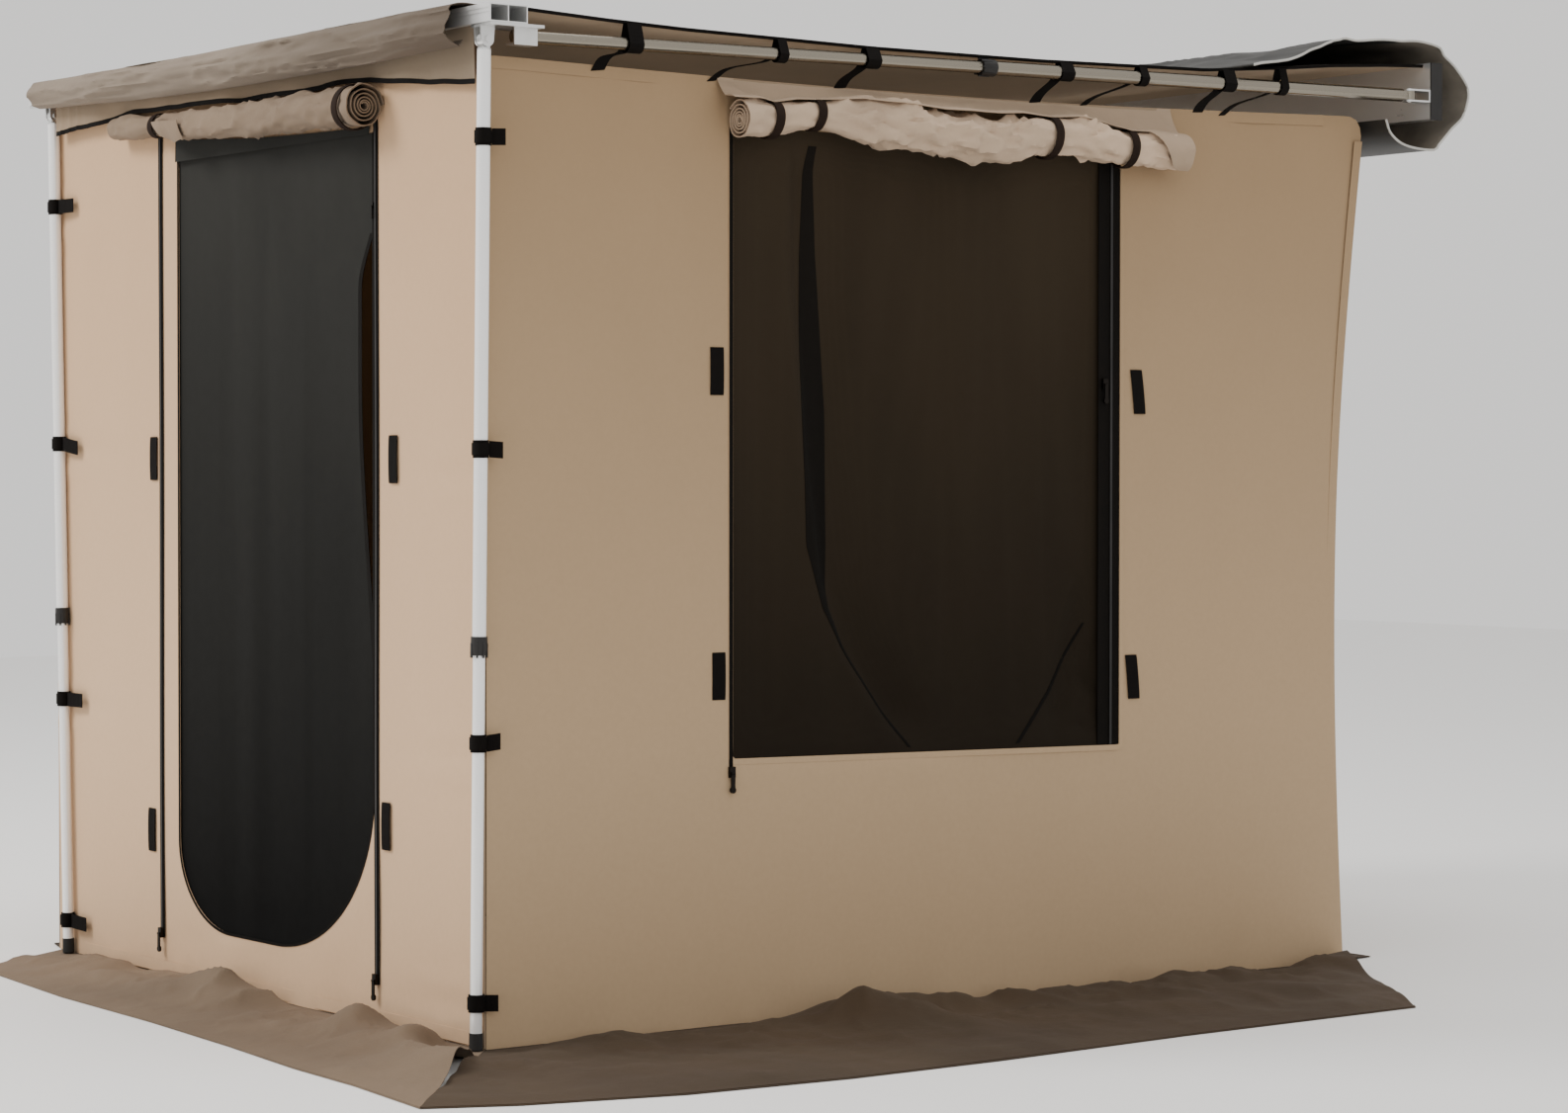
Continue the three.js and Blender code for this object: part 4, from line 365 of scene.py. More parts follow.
# Near-black net laid over the window net's folds: painted shade.
NET_FOLD_PAINTED_SHADE = insect_mesh("window_net_fold_painted_shade", (0.006, 0.0045, 0.003), (0.01, 0.008, 0.006))
WEBBING = woven_tape("webbing", (0.0035, 0.0025, 0.002))
STRAP = woven_tape("tie_webbing", (0.016, 0.009, 0.006))
ZIP_TAPE = woven_tape("zip_tape", (0.004, 0.003, 0.0022), 0.0014)
RAIL_METAL = drawn_metal("rail_aluminium", (0.85, 0.85, 0.84), 0.2, 0.36, (0.02, 1, 1), 0.7)
TUBE_METAL = drawn_metal("tube_aluminium", (0.99, 0.985, 0.975), 0.1, 0.22, (1, 1, 0.02), 0.3)
# The arms' aluminium is darkened and browned: painted shade from the canopy above and painted
# reflection of the brown cloth round it.
ARM_METAL_PAINTED_SHADE = drawn_metal("arm_aluminium_painted_shade", (0.3, 0.27, 0.22), 0.16, 0.3, (1, 0.02, 1))
CASTING = cast_metal("cast_alloy", (0.8, 0.8, 0.79))
ZIP_METAL = cast_metal("zip_metal", (0.02, 0.017, 0.015), 0.4)
PLASTIC = moulded("black_plastic", (0.012, 0.011, 0.0105), 0.42)
RUBBER = moulded("rubber", (0.014, 0.0135, 0.013), 0.75, 300, 0.0002)
POWDER = moulded("black_powder_coat", (0.014, 0.014, 0.0145), 0.5, 900, 0.00008)
BINDING = canvas("binding", (0.3, 0.22, 0.145), 0.12, 0.001, 20)
HEM = canvas("canopy_hem", (0.38, 0.33, 0.27), 0.15, 0.001, 20)
BAG = moulded("bag_cloth", (0.011, 0.0105, 0.0095), 0.55, 300, 0.0003, 3.0)
# A grey-brown lining, made lighter as painted light where it lies in shade.
BAG_LINING_PAINTED_LIGHT = moulded("bag_lining_painted_light", (0.12, 0.105, 0.085), 0.6, 300, 0.0003, 1.8)
# A light trim, its tone raised further as painted light where it lies in shade.
PIPING_PARTLY_PAINTED_LIGHT = moulded("bag_piping", (0.42, 0.41, 0.38), 0.5, 300, 0.0002, 1.3)

NODE_LOOKS = (  # the last one that fits a node's name counts
    (RAIL_METAL, ("backing_rail", "front_rail")),
    (PLASTIC, ("backing_rail_cap", "arm_lock", "leg_lock")),
    (POWDER, ("rack_bracket",)),
    (CASTING, ("arm_hinge", "corner_bracket", "leg_head")),
    (ARM_METAL_PAINTED_SHADE, ("arm_outer_tube", "arm_inner_tube")),
    (TUBE_METAL, ("leg_upper_tube", "leg_lower_tube")),
    (RUBBER, ("leg_foot",)),
    (ZIP_METAL, ("slider",)),
)

for node_name, node_object in frame["nodes"].items():
    slots = node_object.data.materials
    for look, parts in NODE_LOOKS:
        if any(part in node_name for part in parts):
            for slot in range(len(slots)):
                slots[slot] = look

# Noise, meshes and cloth

BODY = "awning_and_room"
SHARP_EDGE = math.radians(55)
TUBE_SIDES = 8
CLOTH, TAPE, STRAP_TAPE, NET = 0.0014, 0.0012, 0.0016, 0.0008  # how thick each is
X_WAY, Y_WAY, UP = (1, 0, 0), (0, 1, 0), (0, 0, 1)
FLAT_SPARE = 1.0005  # of a flat length that is worked out from its piece's area


def at(*parts):
    """Points from their coordinates, each a number or an array that fits the others."""
    return np.stack(np.broadcast_arrays(*parts), -1)


def uv(rows, columns):
    """Shares across the columns and down the rows of a grid."""
    return np.linspace(0, 1, columns)[None], np.linspace(0, 1, rows)[:, None]


def lattice(points, seed):
    """Smooth noise from -1 to 1 at an array of points, from a lattice of fixed values."""
    base = np.floor(points).astype(np.int64)
    part = points - base
    part = part * part * (3 - 2 * part)
    total = np.zeros(points.shape[:-1])
    for corner in range(8):
        step = np.array([corner & 1, corner >> 1 & 1, corner >> 2 & 1])
        cell = base + step
        mixed = cell[..., 0] * 374761393 + cell[..., 1] * 668265263 + cell[..., 2] * 2147483647
        mixed = (mixed + seed * 974711) & 0xFFFFFFFF
        mixed = ((mixed ^ (mixed >> 13)) * 1274126177) & 0xFFFFFFFF
        value = (mixed ^ (mixed >> 16)) / 0xFFFFFFFF * 2 - 1
        total += value * np.prod(np.where(step, part, 1 - part), axis=-1)
    return total


def noise(points, scale, seed, octaves):
    """Layered smooth noise. scale gives the steps per metre along each axis."""
    scaled = points * np.array(scale, float)
    return sum(lattice(scaled * 2**k, seed + k) / 2**k for k in range(octaves))


def creased(points, scale, seed, octaves):
    """Noise with narrow ridges, from 0 to 1, as cloth has where it is gathered."""
    return 1 - np.minimum(np.abs(noise(points, scale, seed, octaves)) * 1.6, 1)


def smooth(value, low=0.0, high=1.0):
    t = np.clip((np.asarray(value, float) - low) / (high - low), 0, 1)
    return t * t * (3 - 2 * t)


def table(pairs, place):
    return np.interp(place, [p[0] for p in pairs], [p[1] for p in pairs])


def steps(line, axis, closed):
    """The way on at each point, along one axis of an array of points."""
    if closed:
        return np.roll(line, -1, axis) - np.roll(line, 1, axis)
    return np.gradient(line, axis=axis)


def unit(vectors):
    return vectors / np.maximum(np.linalg.norm(vectors, axis=-1, keepdims=True), 1e-12)


def grid_area(grid, wrap=False):
    if wrap:
        grid = np.concatenate([grid, grid[:, :1]], axis=1)
    a = grid[1:, 1:] - grid[:-1, :-1]
    b = grid[1:, :-1] - grid[:-1, 1:]
    return float(np.linalg.norm(np.cross(a, b), axis=-1).sum() / 2)


def put_mesh(name, points, faces, look, body=BODY, inner=None, inner_faces=()):
    """A new object from points and faces, facing outwards, riding on a body."""
    mesh = bpy.data.meshes.new(name)
    mesh.from_pydata(np.asarray(points, float).reshape(-1, 3).tolist(), [], faces)
    mesh.materials.append(look)
    if inner:
        mesh.materials.append(inner)
        for k in inner_faces:
            mesh.polygons[k].material_index = 1
    made = bmesh.new()
    made.from_mesh(mesh)
    bmesh.ops.recalc_face_normals(made, faces=made.faces)
    made.to_mesh(mesh)
    made.free()
    mesh.polygons.foreach_set("use_smooth", [True] * len(mesh.polygons))
    mesh.set_sharp_from_angle(angle=SHARP_EDGE)
    piece = add_object(name, mesh)
    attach(piece, body)
    return piece


def grid_faces(rows, columns, start, wrap):
    faces = []
    for j in range(rows - 1):
        a = start + j * columns
        for i in range(columns if wrap else columns - 1):
            k = (i + 1) % columns
            faces.append((a + i, a + k, a + columns + k, a + columns + i))
    return faces


def rim_faces(outline, offset):
    ends = outline[1:] + outline[:1]
    return [(a, b, b + offset, a + offset) for a, b in zip(outline, ends)]


def cloth(name, grid, thickness, look, wrap=False, body=BODY, inner=None, inner_rows=(0, 0)):
    """A thin closed sheet through a grid of points. Its first side has the inner look, on the
    rows given."""
    rows, columns = grid.shape[:2]
    normal = unit(np.cross(steps(grid, 1, wrap), np.gradient(grid, axis=0)))
    shift = normal * (thickness / 2)
    count = rows * columns
    points = np.concatenate([(grid + shift).reshape(-1, 3), (grid - shift).reshape(-1, 3)])
    faces = grid_faces(rows, columns, 0, wrap) + grid_faces(rows, columns, count, wrap)
    index = np.arange(count).reshape(rows, columns)
    if wrap:
        outlines = [index[0], index[-1]]
    else:
        edges = [index[0], index[1:, -1], index[-1, -2::-1], index[-2:0:-1, 0]]
        outlines = [np.concatenate(edges)]
    for outline in outlines:
        faces += rim_faces(outline.tolist(), count)
    inner_faces = range(inner_rows[0] * (columns - 1), inner_rows[1] * (columns - 1))
    return put_mesh(name, points, faces, look, body, inner, inner_faces)


def lay_sheet(grid, flat, node=None, wrap=False):
    """Takes a cloth piece's flat width and length, and hides the CAD node that it stands for. A
    length that is missing, or too short for the area, is worked out from it."""
    area = grid_area(grid, wrap)
    width, length = flat
    if length is None:
        length = area / width * FLAT_SPARE
    elif area > width * length:
        length *= area / (width * length) * FLAT_SPARE
    if node:
        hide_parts(node)


def resample(points, count):
    """Points at equal steps along a line through points."""
    points = np.asarray(points, float)
    along = np.cumsum(np.linalg.norm(np.diff(points, axis=0), axis=1))
    along = np.concatenate([[0], along])
    places = np.linspace(0, along[-1], count)
    return at(*(np.interp(places, along, part) for part in points.T))


def spline(points, count):
    """A smooth curve through points, as equal steps along it."""
    points = np.asarray(points, float)
    padded = [2 * points[0] - points[1], *points, 2 * points[-1] - points[-2]]
    fine = []
    for a, b, c, d in zip(padded, padded[1:], padded[2:], padded[3:]):
        for t in np.linspace(0, 1, 12, endpoint=False):
            turn = (2 * a - 5 * b + 4 * c - d) * t * t + (3 * b - 3 * c + d - a) * t**3
            fine.append(0.5 * (2 * b + (c - a) * t + turn))
    return resample(fine + [points[-1]], count)


def closed_line(edges, counts):
    """A closed loop along edges that join on, with a count of points for each."""
    return np.concatenate([resample(edge, n)[:-1] for edge, n in zip(edges, counts)])


def straight_edges(corners):
    return list(zip(corners, corners[1:] + corners[:1]))


def ribbon(name, path, across, width, look, thick=TAPE, loop=False, bow=0.0, body=BODY):
    """A flat band along a path. across is the direction of its width, one or for each point."""
    path = np.asarray(path, float)
    across = unit(np.broadcast_to(np.asarray(across, float), path.shape))
    shares = np.array([-1, -0.86, -0.4, 0, 0.4, 0.86, 1])[:, None, None]
    normal = unit(np.cross(across, steps(path, 0, loop)))
    grid = path + across * (shares * width / 2) + normal * (bow * (1 - shares**2))
    return cloth(name, grid, thick, look, loop, body)


def tube_along(name, path, radius, look):
    """A round piping along a path."""
    along = unit(np.gradient(path, axis=0))
    helper = np.where(np.abs(along[:, 2:]) < 0.9, [UP], [X_WAY])
    side = unit(np.cross(along, helper))
    up = np.cross(side, along)
    turns = np.linspace(0, 2 * math.pi, TUBE_SIDES, endpoint=False)
    rings = [path + radius * (math.cos(t) * side + math.sin(t) * up) for t in turns]
    faces = grid_faces(len(path), TUBE_SIDES, 0, True)
    for start in (0, (len(path) - 1) * TUBE_SIDES):
        faces.append(tuple(range(start, start + TUBE_SIDES)))
    put_mesh(name, np.stack(rings, 1), faces, look)


# Sizes of the part, as its source has them

ROOM_WIDTH = 1.9
ROOM_DEPTH = 2.293
FRONT_WALL_Y = -2.57385
VEHICLE_WALL_Y = -0.28085
SIDE_X = 0.95
WALL_BOTTOM_Z = GROUND_Z + 0.0033
WALL_TOP_Z = -0.0976
WALL_DROP, FAR_WALL_DROP = 0.132, 0.168  # rack to each side wall's top at the vehicle
WALL_FALL, WALL_SAG = 0.014, 0.0175
WALL_LEAN, WALL_HOLLOW = 0.06, 0.057
WALL_CORNER = 0.045
SEAM = 0.0033  # front wall's outer face back to the side walls' edge
DOOR_LEFT_X, DOOR_RIGHT_X = -0.3355, 0.5215
DOOR_SILL_Z, DOOR_TOP_Z = -1.943, -0.263
FAR_CORNER = (0.237, 0.19)
NEAR_CORNER = (0.415, 0.355)
WINDOW_NEAR_Y, WINDOW_FAR_Y = -1.98785, -0.95785
WINDOW_SILL_Z, WINDOW_SILL_RISE, WINDOW_TOP_Z = -1.54, 0.014, -0.25
NET_LAP = 0.009
RAIL_FRONT_Y, RAIL_BACK_Y = -2.61085, -2.52485
RAIL_TOP_Z, RAIL_BOTTOM_Z = -0.056, -0.091
BACK_RAIL_FRONT_Y = -0.06685
ARM_X, ARM_PIN_Y, ARM_PIN_Z = 0.988, -0.11685, -0.081
ARM_LENGTH, ARM_FALL, ARM_STACK = 2.415186, 0.012422, 0.036
LEG_Y, LEG_PIVOT_Z = -2.59185, -0.121
CANOPY_SAG_DEPTH = 0.041
CANOPY_SAG = [
    *((0, 0), (0.05, 0.09), (0.114, 0.28), (0.176, 0.57), (0.273, 0.95)),
    *((0.468, 1), (0.648, 0.87), (0.841, 0.52), (0.915, 0.31), (1, 0)),
]


def wall_top_z(y, drop=WALL_DROP):
    share = (VEHICLE_WALL_Y + WALL_LEAN - y) / ROOM_DEPTH
    return -drop - WALL_FALL * share - WALL_SAG * np.sin(np.pi * np.clip(share, 0, 1))


def vehicle_edge_y(z):
    share = (z - WALL_BOTTOM_Z) / (-WALL_DROP - WALL_BOTTOM_Z)
    return VEHICLE_WALL_Y + WALL_LEAN * share - WALL_HOLLOW * np.sin(np.pi * share)


def canopy_top_z(y):
    front_z, back_z = RAIL_TOP_Z + 0.0028, -0.008
    share = (BACK_RAIL_FRONT_Y - y) / (BACK_RAIL_FRONT_Y - RAIL_BACK_Y)
    return back_z + (front_z - back_z) * share - CANOPY_SAG_DEPTH * table(CANOPY_SAG, share)


# Front wall, round the door

WALL_PULLS = (  # where straps pull on the front wall
    *((0.9, -0.33), (0.9, -0.95), (0.9, -1.5), (0.9, -1.99)),
    *((-0.9, -0.35), (-0.88, -0.9), (-0.86, -1.49)),
)


def door_line(margin=0.0):
    """The door's outline from its top left corner round the bottom to its top right corner."""
    left, right = DOOR_LEFT_X - margin, DOOR_RIGHT_X + margin
    bottom = DOOR_SILL_Z - margin
    quarter = np.linspace(0, math.pi / 2, 24)
    sine, cosine = np.sin(quarter), np.cos(quarter)
    far_w, far_h = FAR_CORNER
    near_w, near_h = NEAR_CORNER
    far = at(left + far_w * (1 - cosine), bottom + far_h * (1 - sine))
    near = at(right - near_w * (1 - sine), bottom + near_h * (1 - cosine))
    return np.concatenate([[[left, DOOR_TOP_Z]], far, near, [[right, DOOR_TOP_Z]]])


def ring_grid(inner, outer, rows):
    """A grid between two closed loops of the same count, closer together near the inner one."""
    shares = np.linspace(0, 1, rows)[:, None, None] ** 1.25
    return inner + (outer - inner) * shares


def front_wall_fold(x, z):
    """How far the front wall's cloth stands out of its plane."""
    points = at(x, z * 0.35, 0)
    pulls = 0.0
    for pull_x, pull_z in WALL_PULLS:
        dx, dz = x - pull_x, z - pull_z
        reach = np.exp(-((dx / 0.2) ** 2 + (dz / 0.07) ** 2))
        pulls = pulls + 0.0022 * reach * np.cos(dz * 75)
    foot = np.exp(-((z - WALL_BOTTOM_Z) / 0.09)) * noise(points, (9, 2, 1), 17, 2) * 0.004
    return noise(points, (3.2, 2.0, 1), 11, 2) * 0.0035 + pulls + foot


def make_front_wall():
    counts = (90, 60, 90, 60)
    door = door_line()
    first, last = 18, 31  # its points between which the bottom lies
    edges = (door[: first + 1], door[first : last + 1], door[last:], door[[-1, 0]])
    top, foot = WALL_TOP_Z, WALL_BOTTOM_Z
    corners = [(-SIDE_X, top), (-SIDE_X, foot), (SIDE_X, foot), (SIDE_X, top)]
    outer = closed_line(straight_edges(corners), counts)
    flat = ring_grid(closed_line(edges, counts), outer, 30)
    x, z = flat[..., 0], flat[..., 1]
    fade = smooth(np.linspace(0, 1, 30), 0.06, 0.35)[:, None]
    grid = at(x, FRONT_WALL_Y + 0.0012 + front_wall_fold(x, z) * fade, z)
    wall = cloth("front_wall_cloth", grid, CLOTH, WALL_FRONT_PAINTED_LIGHT, wrap=True)
    lay_sheet(grid, (ROOM_WIDTH, 1.97), "front_wall", wrap=True)
    edge = resample(door_line(0.002), 220)
    way = np.gradient(edge, axis=0)
    path = at(edge[:, 0], FRONT_WALL_Y - 0.0004, edge[:, 1])
    ribbon("door_binding", path, at(-way[:, 1], 0, way[:, 0]), 0.006, ZIP_TAPE)
    hem = at(np.linspace(-SIDE_X, SIDE_X, 80), FRONT_WALL_Y - 0.0006, WALL_BOTTOM_Z + 0.016)
    ribbon("front_wall_hem", hem, UP, 0.026, WALL_FRONT_PAINTED_LIGHT)


def make_corner_piping():
    """The seams down the room's corners, where the walls are sewn together."""
    for side, label, drop in ((1, "window", WALL_DROP), (-1, "far", FAR_WALL_DROP)):
        top = float(wall_top_z(FRONT_WALL_Y, drop))
        heights = np.linspace(WALL_BOTTOM_Z + 0.002, top, 90)
        line = at(side * (SIDE_X + 0.0004), FRONT_WALL_Y - 0.0002, heights)
        tube_along("corner_piping_" + label, line, 0.0022, BINDING)


# Side walls and the wall at the vehicle

SEWN_X = SIDE_X + 0.0004  # middle of a hem that is sewn on the window's wall
HEM_WIDTH = 0.024


def side_fold(y, z, seed):
    points = at(y, z * 0.35, 0)
    broad = noise(points, (2.6, 1.8, 1), seed, 2) * 0.0042
    foot = np.exp(-((z - WALL_BOTTOM_Z) / 0.1)) * noise(points, (8, 2, 1), seed + 3, 2) * 0.004
    top = np.exp((z - wall_top_z(y)) / 0.1) * noise(points, (7, 2, 1), seed + 5, 2) * 0.004
    return broad + foot + top


def window_wall_outline(counts):
    """The edges of the window's wall: its top from the front, vehicle edge, bottom and front."""
    start_y = FRONT_WALL_Y + SEAM
    corner_z = -WALL_DROP - WALL_CORNER
    top_y = float(vehicle_edge_y(corner_z))
    round_y = top_y - WALL_CORNER
    ys = np.linspace(start_y, round_y, 60)
    t = np.linspace(0, 1, 10)[1:, None]
    start = at(round_y, wall_top_z(round_y))
    middle, end = at(top_y, -WALL_DROP), at(top_y, corner_z)
    curve = (1 - t) ** 2 * start + 2 * t * (1 - t) * middle + t * t * end
    zs = np.linspace(corner_z, WALL_BOTTOM_Z, 60)
    foot = (start_y, WALL_BOTTOM_Z)
    edges = (
        np.concatenate([at(ys, wall_top_z(ys)), curve]),
        at(vehicle_edge_y(zs), zs),
        [(float(vehicle_edge_y(WALL_BOTTOM_Z)), WALL_BOTTOM_Z), foot],
        [foot, (start_y, float(wall_top_z(start_y)))],
    )
    return closed_line(edges, counts)


def make_window_wall():
    counts = (120, 90, 120, 90)
    near, far, top = WINDOW_NEAR_Y, WINDOW_FAR_Y, WINDOW_TOP_Z
    sill, near_sill = WINDOW_SILL_Z, WINDOW_SILL_Z + WINDOW_SILL_RISE
    corners = [(near, top), (far, top), (far, sill), (near, near_sill)]
    inner = closed_line(straight_edges(corners), counts)
    flat = ring_grid(inner, window_wall_outline(counts), 32)
    y, z = flat[..., 0], flat[..., 1]
    fade = smooth(np.linspace(0, 1, 32), 0.0, 0.12)[:, None]
    grid = at(SIDE_X - 0.001 + side_fold(y, z, 31) * fade, y, z)
    wall = cloth("window_wall_cloth", grid, CLOTH, WALL_SIDE_PAINTED_SHADE, wrap=True)
    lay_sheet(grid, (2.36, 1.94), "window_wall", wrap=True)
    out = 0.006  # window's edge to the middle of its binding
    ring = [(near - out, top), (near - out, near_sill - out), (far + out, sill - out)]
    edge = resample(ring + [(far + out, top)], 200)
    way = np.gradient(edge, axis=0)
    path = at(SEWN_X, edge[:, 0], edge[:, 1])
    ribbon("window_binding", path, at(0, -way[:, 1], way[:, 0]), 0.012, WALL_SIDE_PAINTED_SHADE)
    ys = np.linspace(FRONT_WALL_Y + 0.005, -0.35, 150)
    hem = at(SEWN_X, ys, wall_top_z(ys) - HEM_WIDTH / 2)
    ribbon("window_wall_top_hem", hem, UP, HEM_WIDTH, WALL_SIDE_PAINTED_SHADE)
    zs = np.linspace(-0.19, WALL_BOTTOM_Z + 0.004, 120)
    hem = at(SEWN_X, vehicle_edge_y(zs) - 0.013, zs)
    ribbon("window_wall_vehicle_hem", hem, Y_WAY, HEM_WIDTH, WALL_SIDE_PAINTED_SHADE)
    zip_line = at(SIDE_X + 0.001, WINDOW_NEAR_Y - 0.0053, np.linspace(-1.563, -0.252, 90))
    ribbon("window_zip_tape_near", zip_line, Y_WAY, 0.009, ZIP_TAPE, bow=0.0008)


def make_plain_walls():
    u, v = uv(70, 80)
    start_y = FRONT_WALL_Y + SEAM
    top_z = wall_top_z(start_y + (-0.285 - start_y) * u, FAR_WALL_DROP)
    z = top_z + (WALL_BOTTOM_Z - top_z) * v
    y = start_y + (vehicle_edge_y(z) - 0.001 - start_y) * u
    grid = at(-SIDE_X + 0.001 - side_fold(y, z, 41), y, z)
    wall = cloth("far_wall_cloth", grid, CLOTH, WALL_SIDE_PAINTED_SHADE)
    lay_sheet(grid, (2.32, 1.91), "far_wall")
    half, top_z = 0.9465, -0.213
    x = -half + 2 * half * u
    z = top_z + (WALL_BOTTOM_Z - top_z) * v
    y = vehicle_edge_y(z) - 0.0015 + noise(at(x, z * 0.35, 0), (3, 2, 1), 51, 2) * 0.004
    grid = at(x, y, z)
    wall = cloth("vehicle_wall_cloth", grid, CLOTH, WALL_SIDE_PAINTED_SHADE)
    lay_sheet(grid, (ROOM_WIDTH, 1.88), "vehicle_wall")


# Tabs that hold the tied-up flaps

TAB_WIDTH, TAB_LENGTH = 0.032, 0.096
DOOR_TABS = (  # shares of the room's width and the ground's drop
    *((-0.24, 0.556), (0.318, 0.554), (-0.247, 0.155), (0.302, 0.197)),
)
WINDOW_TABS = (  # shares of the room's depth and the ground's drop, and how far each slants
    *((0.238, 0.64, 0.0), (0.727, 0.627, 0.12), (0.24, 0.343, 0.0), (0.721, 0.326, 0.1)),
)


def make_tabs():
    t = np.linspace(0, 1, 15)
    out = 0.0012 + 0.0016 * np.sin(math.pi * t) ** 0.5
    rise = TAB_LENGTH * t - TAB_LENGTH / 2
    for k, (across, up) in enumerate(DOOR_TABS, 1):
        line = at(ROOM_WIDTH * across, FRONT_WALL_Y - out, GROUND_Z * (1 - up) + rise)
        ribbon("door_tab_%d" % k, line, X_WAY, TAB_WIDTH, WEBBING, STRAP_TAPE)
    for k, (along, up, slant) in enumerate(WINDOW_TABS, 1):
        y = FRONT_WALL_Y + ROOM_DEPTH * along - slant * rise
        line = at(SIDE_X + out, y, GROUND_Z * (1 - up) + rise)
        ribbon("window_tab_%d" % k, line, Y_WAY, TAB_WIDTH, WEBBING, STRAP_TAPE)
    y, count = -1.5, 24
    turn = np.linspace(0, 2 * math.pi, count, endpoint=False)
    z = wall_top_z(y) - 0.02 + 0.011 * np.sin(turn)
    line = at(SIDE_X + 0.002, y + 0.02 * np.cos(turn), z)
    faces = [tuple(range(count)), tuple(range(count, 2 * count))]
    faces += rim_faces(list(range(count)), count)
    points = np.concatenate([line, line - [STRAP_TAPE, 0, 0]])
    put_mesh("wall_top_tab", points, faces, WEBBING)


# Meshes

DOOR_SLACK = 0.074  # how far the door's net is drawn in at its open edge
PLEAT_RIDGE = [(0, 0.175), (0.25, 0.18), (0.5, 0.21), (0.72, 0.25), (0.82, 0.3), (1, 0.46)]
PLEATS = (  # dark strips of painted shade along the net's folds: name, left and right edges down the net, and from where to where
    (
        "near",
        [
            *((0.02, 0.196), (0.2, 0.186), (0.45, 0.184), (0.66, 0.19)),
            *((0.76, 0.232), (0.84, 0.296), (1, 0.455)),
        ],
        [
            *((0.02, 0.214), (0.2, 0.222), (0.45, 0.246), (0.66, 0.252)),
            *((0.76, 0.25), (0.84, 0.306), (1, 0.462)),
        ],
        0.03,
        0.985,
    ),
    (
        "far",
        [(0.79, 0.905), (0.9, 0.81), (1, 0.7)],
        [(0.79, 0.911), (0.9, 0.822), (1, 0.709)],
        0.79,
        0.985,
    ),
)


def make_door_mesh():
    u, v = uv(110, 60)
    left, right = DOOR_LEFT_X - NET_LAP, DOOR_RIGHT_X + NET_LAP
    bottom, top = DOOR_SILL_Z - NET_LAP, DOOR_TOP_Z + NET_LAP
    far_w, far_h = FAR_CORNER
    near_w, near_h = NEAR_CORNER
    straight, curved = 0.7, 0.3  # shares of the rows above and in the door's round foot
    turn = (math.pi / 2) * np.clip(v - straight, 0, 1) / curved
    z = top + (bottom + near_h - top) * np.clip(v / straight, 0, 1) - near_h * np.sin(turn)

    def drawn_in(width, height):
        inside = np.clip((bottom + height - z) / height, 0, 1)
        return width * (1 - np.sqrt(1 - inside**2))

    down = (top - z) / (top - bottom)
    slack = DOOR_SLACK * smooth(down, 0.09, 0.19) * (1 - smooth(down, 0.3, 0.75))
    x0 = left + drawn_in(far_w, far_h)
    x1 = right - drawn_in(near_w, near_h) - slack
    x = x0 + (x1 - x0) * u
    rim = np.sin(np.pi * u) ** 0.7 * np.sin(np.pi * np.clip(v * 1.02, 0, 1)) ** 0.5
    wave = at(x, z * 0.12, 0)
    fold = 0.005 + 0.006 * noise(wave, (6, 2, 1), 61, 2) + 0.002 * noise(wave, (18, 3, 1), 63, 2)
    y = FRONT_WALL_Y + 0.0043 + np.maximum(fold, 0.0) * rim + 0.004 * slack / DOOR_SLACK * u**3
    grid = at(x, y, z)
    net = cloth("door_mesh_net", grid, NET, DOOR_NET, body="door_mesh")
    edge = resample((grid[:, -1] - [0, NET, 0])[12:78], 120)
    binding = ribbon("door_mesh_binding", edge, X_WAY, 0.014, ZIP_TAPE, body="door_mesh")
    lay_sheet(grid, (0.9, 1.71), "door_mesh")


def window_net_depth(u, v, y, z):
    """How far the window's net stands back from the wall."""
    rim = smooth(0.5 - np.abs(u - 0.5), 0, 0.1) * smooth(0.5 - np.abs(v - 0.5), 0, 0.08)
    side = u - table(PLEAT_RIDGE, v)
    main = np.exp(-((side / np.where(side < 0, 0.02, 0.085)) ** 2))
    second = np.exp(-(((u - 0.88 + 0.35 * (v - 0.8)) / 0.03) ** 2)) * smooth(v, 0.68, 0.85)
    crumple = creased(at(y, z, 0), (14, 11, 1), 71, 3)
    crumple = crumple * smooth(u, 0.82, 0.95) * smooth(v, 0.78, 0.92)
    wave = at(y, z * 0.15, 0)
    soft = noise(wave, (5, 2, 1), 73, 2) * 0.5 + 0.5
    fine = noise(wave, (16, 3, 1), 75, 2) * 0.5 + 0.5
    fold = 0.02 * main + 0.012 * second + 0.02 * crumple + 0.012 * soft + 0.003 * fine
    return 0.0036 + rim * fold


def window_net_grid(u, v, forward=0.0):
    """Points of the window's net at shares along and down it."""
    width = WINDOW_FAR_Y - WINDOW_NEAR_Y + 2 * NET_LAP
    y = WINDOW_NEAR_Y - NET_LAP + width * u
    sill = WINDOW_SILL_Z + WINDOW_SILL_RISE * (1 - u)
    z = WINDOW_TOP_Z + NET_LAP - (WINDOW_TOP_Z - sill + 2 * NET_LAP) * v
    return at(SIDE_X - window_net_depth(u, v, y, z) + forward, y, z)


def make_window_mesh():
    grid = window_net_grid(*uv(90, 110))
    net = cloth("window_mesh_net", grid, NET, WINDOW_NET)
    across, down = uv(90, 9)
    for name, lefts, rights, first, last in PLEATS:
        v = first + (last - first) * down
        left, right = table(lefts, v), table(rights, v)
        double = window_net_grid(left + (right - left) * across, v, NET + 0.0003)
        cloth("window_mesh_pleat_" + name, double, 0.0006, NET_FOLD_PAINTED_SHADE)
    lay_sheet(grid, (1.05, 1.31), "window_mesh")


# Zips


